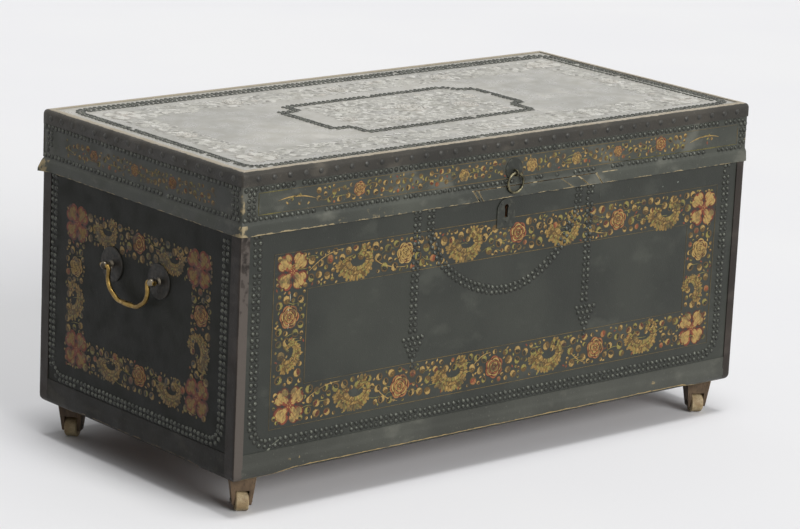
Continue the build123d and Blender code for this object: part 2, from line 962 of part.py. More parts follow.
with BuildPart() as lock_spring:
    spring_middle = lock_x - key_sweep - spring_seat_gap - slide_clearance - spring_span / 2
    spring_left = spring_middle - spring_span / 2
    spring_right = spring_middle + spring_span / 2
    spring_foot = lower_ledge_z - spring_rise
    with BuildSketch(Plane.XZ.offset(-bolt_y)):
        with BuildLine():
            upper = ThreePointArc(
                (spring_left, spring_foot), (spring_middle, lower_ledge_z), (spring_right, spring_foot)
            )
            lower = ThreePointArc(
                (spring_left, spring_foot - spring_thickness),
                (spring_middle, lower_ledge_z - spring_thickness),
                (spring_right, spring_foot - spring_thickness),
            )
            Line(upper @ 0, lower @ 0)
            Line(upper @ 1, lower @ 1)
        make_face()
    extrude(amount=spring_width / 2, both=True)
save(lock_spring, "lock_spring")

with BuildPart() as lid_staple:
    eye_half_width = bolt_nose_thickness / 2 + staple_side_clearance
    eye_half_height = bolt_nose_height / 2 + staple_eye_clearance
    box_cut(
        staple_middle - staple_plate_length / 2,
        staple_middle + staple_plate_length / 2,
        bolt_y - staple_plate_width / 2,
        bolt_y + staple_plate_width / 2,
        lid_z,
        lid_z + staple_plate_thickness,
        mode=Mode.ADD,
    )
    box_cut(
        staple_middle - staple_thickness / 2,
        staple_middle + staple_thickness / 2,
        bolt_y - eye_half_width - staple_wall,
        bolt_y + eye_half_width + staple_wall,
        bolt_z - eye_half_height - staple_foot,
        lid_z,
        mode=Mode.ADD,
    )
    box_cut(
        staple_middle - staple_thickness / 2,
        staple_middle + staple_thickness / 2,
        bolt_y - eye_half_width,
        bolt_y + eye_half_width,
        bolt_z - eye_half_height,
        bolt_z + eye_half_height,
    )
    cut_at(staple_screw_spots, staple_screw_hole)
save(lid_staple, "lid_staple")

# ------------------------------------------------------------ ring on the lid

with BuildPart() as ring_plate:
    with BuildSketch(Plane.XZ.offset(lid_face)):
        with Locations((ring_x, lid_z + ring_plate_rise)):
            Circle(ring_plate_radius)
    extrude(amount=ring_plate_thickness)
    fillet(ring_plate.edges().sort_by(Axis.Y)[0], ring_plate_thickness / 2)
    cut_eye_holes()
save(ring_plate, "ring_plate")

with BuildPart() as ring_staple:
    upper_leg = eye_height + eye_bend_radius
    lower_leg = eye_height - eye_bend_radius
    with BuildLine() as staple_path:
        Line((ring_x, eye_leg_end, upper_leg), (ring_x, ring_y, upper_leg))
        ThreePointArc(
            (ring_x, ring_y, upper_leg),
            (ring_x, ring_y - eye_bend_radius, eye_height),
            (ring_x, ring_y, lower_leg),
        )
        Line((ring_x, ring_y, lower_leg), (ring_x, eye_leg_end, lower_leg))
    with BuildSketch(Plane(origin=(ring_x, eye_leg_end, upper_leg), z_dir=(0, -1, 0))):
        Circle(eye_wire_radius)
    sweep(path=staple_path.line)
save(ring_staple, "ring_staple")

with BuildPart() as pull_ring:
    with BuildSketch(Plane.YZ.offset(ring_x)):
        with Locations((ring_y, eye_height)):
            Circle(ring_wire_radius)
    ring_axis = Axis((ring_x, ring_y, eye_height - ring_radius), (0, 1, 0))
    revolve(axis=ring_axis)
save(pull_ring, "pull_ring")

# ------------------------------------------------------------ handles

with BuildPart() as rosette:
    with BuildSketch():
        Circle(rosette_radius)
        Circle(post_shank_radius + driven_clearance, mode=Mode.SUBTRACT)
    extrude(amount=rosette_thickness)
    outer_rim = rosette.faces().sort_by(Axis.Z)[-1].edges().sort_by(SortBy.RADIUS)[-1]
    fillet(outer_rim, rosette_round)
save_group("handle_rosettes", handle_spots["left"] + handle_spots["right"], rosette)

with BuildPart() as handle_post:
    inside = -(leather + board)
    with BuildSketch(Plane.XZ):
        with BuildLine():
            Polyline(
                (0, inside - post_clench_thickness),
                (post_clench_radius, inside - post_clench_thickness),
                (post_clench_radius, inside),
                (post_shank_radius, inside),
                (post_shank_radius, rosette_thickness),
                (post_ball_radius, rosette_thickness),
                (post_neck_radius, rosette_thickness + post_ball_radius - post_neck_radius),
                (post_neck_radius, post_reach),
                (0, post_reach),
                close=True,
            )
        make_face()
    revolve(axis=Axis.Z)
    with Locations((0, 0, post_reach)):
        Sphere(post_ball_radius)
        Cylinder(
            bail_wire_radius + running_clearance,
            2 * post_ball_radius,
            rotation=(0, 90, 0),
            mode=Mode.SUBTRACT,
        )
save_group("handle_posts", handle_spots["left"] + handle_spots["right"], handle_post)


def bail(sign):
    """A swan-neck bail with its ends turned outwards into the posts, on one end of the trunk."""
    x = sign * (body_end + post_reach)
    stub = handle_spacing / 2 + post_ball_radius + bail_stub
    shoulder = bail_leg_spacing / 2
    half_route = [
        (stub, 0),
        (shoulder, 0),
        (shoulder + bail_belly, -bail_shoulder_drop),
        (bail_foot_spacing / 2, -bail_drop),
        (grip_length / 2, -bail_drop),
    ]
    turns = [bail_turn_radius, bail_bend_radius, bail_foot_radius]
    with BuildPart() as piece:
        for side in (-1, 1):
            points = [(x, handle_y + side * y, handle_height + z) for y, z in half_route]
            with BuildLine() as centre_line:
                FilletPolyline(*points, radius=turns)
            with BuildSketch(Plane(origin=points[0], z_dir=(0, -side, 0))):
                Circle(bail_wire_radius)
            sweep(path=centre_line.line)
        for y, swell in ((-1, 0), (-0.5, 0.7), (0, 1), (0.5, 0.7), (1, 0)):
            half_width = bail_wire_radius + swell * (grip_half_width - bail_wire_radius)
            half_height = bail_wire_radius + swell * (grip_half_height - bail_wire_radius)
            grip_y = handle_y + y * grip_length / 2
            with BuildSketch(Plane.XZ.offset(-grip_y)):
                with Locations((x, handle_height - bail_drop)):
                    Ellipse(half_width, half_height)
        loft()
    return piece


save(bail(-1), "left_bail")
save(bail(1), "right_bail")

# ------------------------------------------------------------ hinges


def hinge_leaves(leaf_low, own_knuckles, screw_spots):
    """Both hinges' leaves on one side of the joint, with their share of the knuckles."""
    other_knuckles = [x for x in knuckle_xs if x not in own_knuckles]
    with BuildPart() as leaves:
        for x in hinge_xs:
            box_cut(
                x - hinge_length / 2,
                x + hinge_length / 2,
                hinge_inner,
                hinge_y,
                leaf_low,
                leaf_low + hinge_leaf,
                mode=Mode.ADD,
            )
            for knuckle in other_knuckles:
                box_cut(
                    x + knuckle - knuckle_length / 2 - hinge_knuckle_gap,
                    x + knuckle + knuckle_length / 2 + hinge_knuckle_gap,
                    hinge_y - hinge_barrel_radius - hinge_knuckle_gap,
                    hinge_y,
                    leaf_low,
                    leaf_low + hinge_leaf,
                )
            for knuckle in own_knuckles:
                with Locations((x + knuckle, hinge_y, hinge_z)):
                    Cylinder(hinge_barrel_radius, knuckle_length, rotation=(0, 90, 0))
            with Locations((x, hinge_y, hinge_z)):
                Cylinder(
                    hinge_pin_radius + running_clearance,
                    hinge_length,
                    rotation=(0, 90, 0),
                    mode=Mode.SUBTRACT,
                )
        cut_at(screw_spots, hinge_screw_hole)
    return leaves


save(hinge_leaves(joint_z - hinge_leaf, knuckle_xs[0::2], body_hinge_screw_spots), "hinge_leaves")
save(hinge_leaves(lid_z, knuckle_xs[1::2], lid_hinge_screw_spots), "hinge_lid_leaves")

with BuildPart() as hinge_pins:
    for x in hinge_xs:
        with Locations((x, hinge_y, hinge_z)):
            Cylinder(hinge_pin_radius, hinge_length, rotation=(0, 90, 0))
        for end in (-1, 1):
            with Locations((x + end * (hinge_length + hinge_pin_head) / 2, hinge_y, hinge_z)):
                Cylinder(hinge_pin_head_radius, hinge_pin_head, rotation=(0, 90, 0))
save(hinge_pins, "hinge_pins")

# ------------------------------------------------------------ casters

with BuildPart() as caster_plate:
    with BuildSketch():
        Rectangle(caster_plate_length, caster_plate_width)
    extrude(amount=caster_plate_thickness)
    Cylinder(
        pivot_radius + driven_clearance,
        2 * caster_plate_thickness,
        mode=Mode.SUBTRACT,
    )
with BuildPart() as caster_plates:
    with Locations(*[(x, y, caster_plate_z) for x, y in caster_places.values()]):
        add(caster_plate.part)
    cut_at(caster_screw_spots, caster_screw_hole)
save(caster_plates, "caster_plates")

with BuildPart() as caster_pivot:
    with BuildSketch(Plane.XY.offset(fork_crotch_z + running_clearance)):
        Circle(pivot_head_radius)
    extrude(amount=pivot_head)
    with BuildSketch(Plane.XY.offset(fork_crotch_z + running_clearance + pivot_head)):
        Circle(pivot_radius)
    extrude(amount=pivot_top_z - fork_crotch_z - running_clearance - pivot_head)
save_group("caster_pivots", [facing(x, y, 0, 1) for x, y in caster_places.values()], caster_pivot)


def fork_planes(place, turn):
    """The caster's level plane and the two upright planes across and along its roller."""
    level = Plane(origin=(*place, 0), x_dir=(1, 0, 0), z_dir=(0, 0, 1)).rotated((0, 0, turn))
    across = Plane(origin=level.origin, x_dir=level.x_dir, z_dir=-level.y_dir)
    along = Plane(origin=level.origin, x_dir=level.y_dir, z_dir=level.x_dir)
    return level, across, along


def fork(place, turn):
    """The wooden fork: a tapered block slotted for its roller and bored for pivot and axle."""
    level, across, along = fork_planes(place, turn)
    with BuildPart() as piece:
        with BuildSketch(across):
            with BuildLine():
                Polyline(
                    (-fork_top_width / 2, fork_top_z),
                    (fork_top_width / 2, fork_top_z),
                    (fork_foot_width / 2, fork_floor_gap),
                    (-fork_foot_width / 2, fork_floor_gap),
                    close=True,
                )
            make_face()
        extrude(amount=fork_top_depth / 2, both=True)
        with BuildSketch(along):
            with BuildLine():
                Polyline(
                    (-fork_top_depth / 2, fork_top_z),
                    (fork_top_depth / 2, fork_top_z),
                    (fork_foot_depth / 2, fork_floor_gap),
                    (-fork_foot_depth / 2, fork_floor_gap),
                    close=True,
                )
            make_face()
            fillet(vertices().group_by(Axis.Y)[0], fork_foot_round)
        extrude(amount=fork_top_width / 2, both=True, mode=Mode.INTERSECT)
        with BuildSketch(across):
            with Locations((0, fork_crotch_z / 2)):
                Rectangle(slot_width, fork_crotch_z)
        extrude(amount=fork_top_depth / 2, both=True, mode=Mode.SUBTRACT)
        with BuildSketch(along):
            with Locations((0, roller_radius)):
                Circle(axle_radius + driven_clearance)
        extrude(amount=fork_top_width / 2, both=True, mode=Mode.SUBTRACT)
        with BuildSketch(level.offset(fork_crotch_z)):
            Circle(pivot_radius + running_clearance)
        extrude(amount=fork_top_z - fork_crotch_z, mode=Mode.SUBTRACT)
        with BuildSketch(level.offset(fork_crotch_z)):
            Circle(pivot_head_radius + slide_clearance)
        extrude(amount=pivot_head + slide_clearance, mode=Mode.SUBTRACT)
    return piece


def roller(place, turn):
    """The wooden roller, with its rims eased."""
    _, _, along = fork_planes(place, turn)
    with BuildPart() as piece:
        with BuildSketch(along.offset(-roller_width / 2)):
            with Locations((0, roller_radius)):
                Circle(roller_radius)
        extrude(amount=roller_width)
        chamfer(piece.edges(), roller_edge)
        with BuildSketch(along.offset(-roller_width / 2)):
            with Locations((0, roller_radius)):
                Circle(axle_radius + running_clearance)
        extrude(amount=roller_width, mode=Mode.SUBTRACT)
    return piece


def axle(place, turn):
    """The iron axle, headed outside both cheeks of the fork."""
    _, _, along = fork_planes(place, turn)
    taper = (fork_top_width - fork_foot_width) / (fork_top_z - fork_floor_gap)
    head_top = roller_radius + axle_head_radius
    reach = (fork_foot_width + taper * (head_top - fork_floor_gap)) / 2 + driven_clearance
    with BuildPart() as piece:
        with BuildSketch(along):
            with Locations((0, roller_radius)):
                Circle(axle_radius)
        extrude(amount=reach, both=True)
        for start in (reach, -reach - axle_head):
            with BuildSketch(along.offset(start)):
                with Locations((0, roller_radius)):
                    Circle(axle_head_radius)
            extrude(amount=axle_head)
    return piece


for corner, place in caster_places.items():
    turn = caster_turns[corner]
    save(fork(place, turn), f"caster_fork_{corner}")
    save(axle(place, turn), f"caster_axle_{corner}")
    save(roller(place, turn), f"caster_roller_{corner}")
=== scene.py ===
"""Dresses the leather-covered trunk: hides, bindings, tacks, painted borders, brass and wood.

Lengths are millimetres in the trunk's own frame, and every finished mesh is scaled to metres
as it is set in place. Colours are written as they look on a screen, from 0 to 255.
"""

import json
import logging
import math
import random
from collections.abc import Callable, Sequence
from dataclasses import dataclass, field
from enum import Enum

import bmesh
import bpy
from mathutils import Matrix, Vector, noise

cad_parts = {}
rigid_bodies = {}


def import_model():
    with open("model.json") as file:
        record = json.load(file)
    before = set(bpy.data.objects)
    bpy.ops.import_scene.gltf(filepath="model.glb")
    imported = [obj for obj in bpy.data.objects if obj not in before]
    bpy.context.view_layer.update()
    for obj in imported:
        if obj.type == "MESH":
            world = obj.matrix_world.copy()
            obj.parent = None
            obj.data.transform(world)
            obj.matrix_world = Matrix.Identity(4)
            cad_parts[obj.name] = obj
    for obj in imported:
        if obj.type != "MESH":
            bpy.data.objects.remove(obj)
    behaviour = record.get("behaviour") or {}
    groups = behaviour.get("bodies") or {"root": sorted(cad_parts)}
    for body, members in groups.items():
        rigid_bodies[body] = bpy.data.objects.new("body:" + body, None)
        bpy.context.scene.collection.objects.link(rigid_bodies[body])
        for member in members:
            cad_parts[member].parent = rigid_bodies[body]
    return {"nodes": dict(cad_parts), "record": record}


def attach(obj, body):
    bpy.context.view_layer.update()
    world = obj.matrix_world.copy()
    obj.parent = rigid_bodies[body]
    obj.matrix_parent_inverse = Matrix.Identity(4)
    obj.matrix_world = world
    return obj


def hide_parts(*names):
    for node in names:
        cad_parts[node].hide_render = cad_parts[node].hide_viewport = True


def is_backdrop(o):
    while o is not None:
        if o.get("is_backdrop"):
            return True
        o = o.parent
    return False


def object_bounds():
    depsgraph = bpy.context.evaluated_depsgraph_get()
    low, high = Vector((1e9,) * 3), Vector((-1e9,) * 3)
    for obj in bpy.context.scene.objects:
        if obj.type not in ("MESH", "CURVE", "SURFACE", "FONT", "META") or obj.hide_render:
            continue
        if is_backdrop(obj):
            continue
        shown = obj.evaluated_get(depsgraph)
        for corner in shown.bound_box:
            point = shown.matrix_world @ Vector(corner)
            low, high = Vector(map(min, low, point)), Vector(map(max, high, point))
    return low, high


LOG = logging.getLogger("trunk")

MM = 0.001

Point = tuple[float, float]
Triple = tuple[float, float, float]
Shade = Triple
Socket = bpy.types.NodeSocket


# ------------------------------------------------------------------ colours and node graphs


def shade(colour: Shade) -> tuple[float, float, float, float]:
    """Turn a screen colour into the linear colour that shaders read.

    Args:
        colour: Red, green and blue from 0 to 255.

    Returns:
        Linear red, green, blue and a full alpha.
    """
    linear = []
    for channel in colour:
        value = channel / 255
        linear.append(value / 12.92 if value <= 0.04045 else ((value + 0.055) / 1.055) ** 2.4)
    return (linear[0], linear[1], linear[2], 1.0)


def ripple(u: float, v: float, span: float, seed: float) -> float:
    """Give a smooth random value for a place on a surface.

    Args:
        u: Place across, in millimetres.
        v: Place up, in millimetres.
        span: Rough size of one wave, in millimetres.
        seed: Offset that picks another pattern.

    Returns:
        A value from about -1 to 1.
    """
    return noise.noise(Vector((u / span, v / span, seed)))


def between(table: Sequence[Point], value: float) -> float:
    """Read a table of places and values, with straight lines between them.

    Args:
        table: Places in rising order, each with its value.
        value: Place that is looked up.

    Returns:
        The value there, or that of the nearest end.
    """
    if value <= table[0][0]:
        return table[0][1]
    for (low, first), (high, second) in zip(table, table[1:]):
        if value <= high:
            return first + (second - first) * (value - low) / (high - low)
    return table[-1][1]


class Graph:
    """A node graph in the making: that of a material, or of the room."""

    MIXED_COLOURS = (6, 7)

    def __init__(self, owner: bpy.types.Material | bpy.types.World) -> None:
        """Start from the nodes that the owner has by itself."""
        owner.use_nodes = True
        self.owner = owner
        self.nodes = owner.node_tree.nodes
        self.links = owner.node_tree.links
        self.places = self.node("TexCoord").outputs

    def feed(self, target: Socket, value: object) -> None:
        """Link a socket to another, or write a constant in it."""
        if isinstance(value, Socket):
            self.links.new(value, target)
        else:
            target.default_value = value

    def node(
        self, kind: str, inputs: dict[int | str, object] | None = None, **settings: object
    ) -> bpy.types.Node:
        """Add a shader node.

        Args:
            kind: Its type, without the prefix that all of them share.
            inputs: A socket or a constant for each input, by name or number.
            settings: Its own settings.

        Returns:
            The node.
        """
        node = self.nodes.new(f"ShaderNode{kind}")
        for name, value in settings.items():
            setattr(node, name, value)
        for key, value in (inputs or {}).items():
            self.feed(node.inputs[key], value)
        return node

    def noise(self, scale: float, detail: float, stretch: Triple | None = None) -> Socket:
        """Add a noise texture.

        Args:
            scale: Waves in a metre.
            detail: Octaves of finer noise.
            stretch: Scale along each axis, or None for an even pattern.

        Returns:
            The socket of its value.
        """
        place = self.places["Object"]
        if stretch:
            place = self.node("Mapping", {"Vector": place, "Scale": stretch}).outputs["Vector"]
        return self.node("TexNoise", {"Vector": place, "Scale": scale, "Detail": detail}).outputs["Fac"]

    def cells(self, scale: float) -> Socket:
        """Add a cell pattern and return the distance to its cells' points."""
        inputs = {"Vector": self.places["Object"], "Scale": scale}
        return self.node("TexVoronoi", inputs).outputs["Distance"]

    def span(
        self, value: Socket, low: float, high: float, to: tuple[object, object] = (0.0, 1.0),
        smooth: bool = True,
    ) -> Socket:
        """Carry a value from one range to another.

        Args:
            value: The socket that is read.
            low: Value that gives the first end of the new range.
            high: Value that gives the second.
            to: The new range, as constants or sockets.
            smooth: Whether the result eases in and out at the ends.

        Returns:
            The socket of the result.
        """
        inputs = {"Value": value, "From Min": low, "From Max": high, "To Min": to[0], "To Max": to[1]}
        way = "SMOOTHSTEP" if smooth else "LINEAR"
        return self.node("MapRange", inputs, interpolation_type=way).outputs[0]

    def math(self, operation: str, first: object, second: object, clamp: bool = False) -> Socket:
        """Add a math node for two values or sockets and return its result."""
        inputs = {0: first, 1: second}
        return self.node("Math", inputs, operation=operation, use_clamp=clamp).outputs[0]

    def mix(self, factor: object, under: object, over: object) -> Socket:
        """Mix two colours, each a screen colour or a socket.

        Args:
            factor: Share of the second colour.
            under: The first colour.
            over: The second colour.

        Returns:
            The socket of the mixed colour.
        """
        colours = [shade(value) if isinstance(value, tuple) else value for value in (under, over)]
        inputs = {0: factor, **dict(zip(self.MIXED_COLOURS, colours))}
        return self.node("Mix", inputs, data_type="RGBA").outputs[2]

    def stain(
        self, colour: object, over: Shade, scale: float, detail: float, onset: Point,
        share: float = 1.0, stretch: Triple | None = None,
    ) -> Socket:
        """Lay patches of a second colour over a first one, by noise.

        Args:
            colour: The first colour.
            over: The colour of the patches.
            scale: Waves of the noise in a metre.
            detail: Octaves of finer noise.
            onset: Noise values at which a patch starts and is full.
            share: How much of a full patch covers what lies under it.
            stretch: Scale of the noise along each axis, or None for an even pattern.

        Returns:
            The socket of the stained colour.
        """
        patches = self.span(self.noise(scale, detail, stretch), *onset, (0.0, share))
        return self.mix(patches, colour, over)

    def attribute(self, name: str, output: str) -> Socket:
        """Read one of the mesh's own attributes."""
        return self.node("Attribute", attribute_name=name).outputs[output]

    def bump(self, height: Socket, depth: float, below: Socket | None = None) -> Socket:
        """Raise the surface by a height pattern.

        Args:
            height: The pattern, from 0 to 1.
            depth: Height of the pattern in millimetres.
            below: Another bump's normal that this one lies on.

        Returns:
            The socket of the normal.
        """
        inputs = {"Distance": depth * MM, "Height": height}
        if below:
            inputs["Normal"] = below
        return self.node("Bump", inputs).outputs["Normal"]

    def close(
        self, colour: object, roughness: object, normal: object = None, **constants: float
    ) -> bpy.types.Material:
        """Feed the surface shader and return the material.

        Args:
            colour: Base colour socket.
            roughness: Roughness value or socket.
            normal: Normal socket, if the surface is raised.
            constants: Other shader sockets, with underscores for the spaces in their names.

        Returns:
            The finished material.
        """
        inputs = self.nodes["Principled BSDF"].inputs
        self.feed(inputs["Base Color"], colour)
        self.feed(inputs["Roughness"], roughness)
        if normal:
            self.feed(inputs["Normal"], normal)
        for name, value in constants.items():
            self.feed(inputs[name.replace("_", " ")], value)
        return self.owner


# ------------------------------------------------------------------ finishes


@dataclass(frozen=True)
class Leather:
    """Old varnished hide: mottled, scuffed, and pale where its cut edges are raw."""

    name: str
    base: Shade
    mottle: Shade
    scuffed: Shade
    raw: Shade = (180, 156, 108)
    gloss: float = 0.42
    specular: float = 0.3
    scuffs: float = 0.35
    specks: float = 0.4
    grain: float = 0.16

    def material(self) -> bpy.types.Material:
        """Build the material of this hide."""
        graph = Graph(bpy.data.materials.new(self.name))
        colour = graph.stain(self.base, self.mottle, 7, 6, (0.36, 0.66))
        colour = graph.stain(colour, self.scuffed, 16, 9, (0.56, 0.72), self.scuffs, (1.0, 1.0, 1.6))
        colour = graph.stain(colour, self.scuffed, 240, 2, (0.66, 0.74), self.specks)
        frayed = graph.span(graph.noise(130, 5), 0, 1, (-0.3, 0.3))
        worn = graph.math("ADD", graph.attribute("wear", "Fac"), frayed)
        colour = graph.mix(graph.span(worn, 0.42, 0.62), colour, self.raw)
        polish = graph.span(graph.noise(34, 6), 0.3, 0.75, (self.gloss - 0.07, self.gloss + 0.16))
        pebble = graph.bump(graph.cells(620), self.grain)
        creased = graph.bump(graph.noise(75, 7), self.grain * 2, pebble)
        return graph.close(colour, polish, creased, Specular_IOR_Level=self.specular)


@dataclass(frozen=True)
class Paint:
    """Oil paint laid thickly on the hide, its colour carried by the mesh and rubbed thin."""

    name: str
    under: Shade
    rubbed: float
    specular: float = 0.3

    def material(self) -> bpy.types.Material:
        """Build the material of the paint."""
        graph = Graph(bpy.data.materials.new(self.name))
        colour = graph.attribute("paint", "Color")
        colour = graph.stain(colour, self.under, 420, 4, (0.38, 0.7), 0.45, (1.0, 1.0, 0.6))
        colour = graph.stain(colour, self.under, 52, 8, (0.53, 0.66), self.rubbed)
        strokes = graph.bump(graph.noise(700, 3), 0.12)
        polish = graph.span(graph.noise(90, 3), 0.3, 0.7, (0.42, 0.6))
        return graph.close(colour, polish, strokes, Specular_IOR_Level=self.specular)


@dataclass(frozen=True)
class Metal:
    """Aged metal: bright where hands rub it, dull and dark in its hollows."""

    name: str
    bright: Shade
    dull: Shade
    metallic: float
    roughness: float
    tarnish: Point = (0.38, 0.62)
    scale: float = 120.0
    pits: float = 0.06

    def material(self) -> bpy.types.Material:
        """Build the material of this metal."""
        graph = Graph(bpy.data.materials.new(self.name))
        colour = graph.stain(self.bright, self.dull, self.scale, 7, self.tarnish)
        colour = graph.stain(colour, self.dull, self.scale * 6, 3, (0.55, 0.7), 0.5)
        dulled = (self.roughness, self.roughness + 0.22)
        polish = graph.span(graph.noise(self.scale * 2, 5), 0.3, 0.7, dulled)
        pitted = graph.bump(graph.noise(self.scale * 5, 5), self.pits)
        return graph.close(colour, polish, pitted, Metallic=self.metallic)


class GrainAxis(Enum):
    """The way that a board's grain runs, as a stretch of the pattern."""

    ALONG_X = (0.08, 1.0, 1.0)
    ALONG_Y = (1.0, 0.08, 1.0)
    ALONG_Z = (1.0, 1.0, 0.1)


@dataclass(frozen=True)
class Wood:
    """Oiled timber with rings, fine pores and darker handled patches."""

    name: str
    early: Shade
    late: Shade
    dirt: Shade
    axis: GrainAxis
    scale: float = 90.0
    soiled: float = 0.5

    def material(self) -> bpy.types.Material:
        """Build the material of this timber."""
        graph = Graph(bpy.data.materials.new(self.name))
        run = self.axis.value
        colour = graph.stain(self.early, self.late, self.scale, 6, (0.36, 0.64), 1.0, run)
        colour = graph.stain(colour, self.dirt, self.scale * 9, 3, (0.56, 0.68), 0.6, run)
        colour = graph.stain(colour, self.dirt, 42, 6, (0.46, 0.66), self.soiled)
        grain = graph.bump(graph.noise(self.scale * 7, 4, run), 0.15)
        polish = graph.span(graph.noise(60, 4), 0.3, 0.7, (0.5, 0.68))
        return graph.close(colour, polish, grain, Specular_IOR_Level=0.35)


FINISHES = {
    "camphor_wood": Wood("camphor", (146, 106, 68), (112, 76, 46), (70, 48, 32), GrainAxis.ALONG_X, 60),
    "painted_leather": Leather("body_hide", (46, 48, 43), (56, 58, 52), (84, 86, 78)),
    # The top's hide is the same dark hide as the sides; its pale grey is painted sheen of a top seen at a
    # low angle, with some dust.
    "lid_leather": Leather(
        "top_hide", (142, 140, 131), (164, 161, 151), (190, 186, 176),
        gloss=0.3, specular=0.6, scuffs=0.5, specks=0.3,
    ),
    "flap_leather": Leather(
        "flap_hide", (58, 60, 54), (76, 78, 70), (112, 112, 102), (158, 143, 110), scuffs=0.6,
    ),
    "binding_leather": Leather(
        "binding_hide", (44, 42, 37), (62, 58, 51), (96, 90, 80), (160, 150, 131), scuffs=0.6, grain=0.3,
    ),
    "nail_metal": Metal("tack_metal", (86, 88, 79), (48, 50, 44), 0.4, 0.3, (0.34, 0.62), 160),
    "painted_brass": Metal("painted_brass", (62, 63, 55), (40, 42, 36), 0.3, 0.42, (0.34, 0.56)),
    "ring_brass": Metal("ring_brass", (118, 112, 88), (62, 60, 48), 0.9, 0.32),
    "handle_brass": Metal("handle_brass", (150, 124, 70), (92, 74, 44), 1.0, 0.26, (0.3, 0.74), 60, 0.03),
    "hinge_brass": Metal("hinge_brass", (168, 136, 80), (90, 72, 44), 0.95, 0.32),
    "lock_iron": Metal("lock_iron", (110, 106, 100), (62, 52, 44), 0.9, 0.38),
    "spring_steel": Metal("spring_steel", (150, 150, 152), (90, 88, 86), 1.0, 0.26),
    "screw_steel": Metal("screw_steel", (132, 126, 116), (78, 70, 62), 0.9, 0.34),
    "caster_iron": Metal("caster_iron", (92, 86, 78), (52, 46, 40), 0.8, 0.42),
    "caster_wood": Wood("fork_wood", (114, 94, 72), (80, 64, 48), (46, 38, 30), GrainAxis.ALONG_Z),
    "roller_wood": Wood("roller_wood", (190, 172, 136), (156, 134, 100), (92, 74, 56), GrainAxis.ALONG_Y),
}

# The ends' hide is a darker copy of the body's hide, with a lower specular level: painted shade.
SHADED_END_HIDE = Leather(
    "end_hide", (30, 31, 27), (37, 38, 33), (64, 64, 56), specular=0.12, scuffs=0.2, specks=0.3,
)
STRAP_HIDE = Leather(
    "strap_hide", (44, 39, 35), (56, 50, 45), (84, 76, 70), (90, 83, 77),
    specular=0.2, scuffs=0.4, grain=0.2,
)
BASE_HIDE = Leather("base_hide", (60, 61, 55), (76, 77, 70), (110, 110, 100), scuffs=0.55, grain=0.22)
# The ends' base strips take a darker copy of the base hide: painted shade.
SHADED_END_BASE_HIDE = Leather(
    "end_base_hide", (34, 33, 29), (46, 44, 39), (84, 80, 71), (134, 116, 92),
    specular=0.14, scuffs=0.5, grain=0.22,
)

OWN_FINISHES = {
    "handle_posts": Metal("post_metal", (118, 110, 96), (56, 51, 44), 0.9, 0.24),
    "handle_rosettes": Metal("rosette_metal", (42, 38, 32), (25, 24, 20), 0.5, 0.4),
    "binding_nails": Metal("edge_nail_metal", (60, 59, 54), (38, 37, 33), 0.3, 0.4),
}


# ------------------------------------------------------------------ meshes in the making


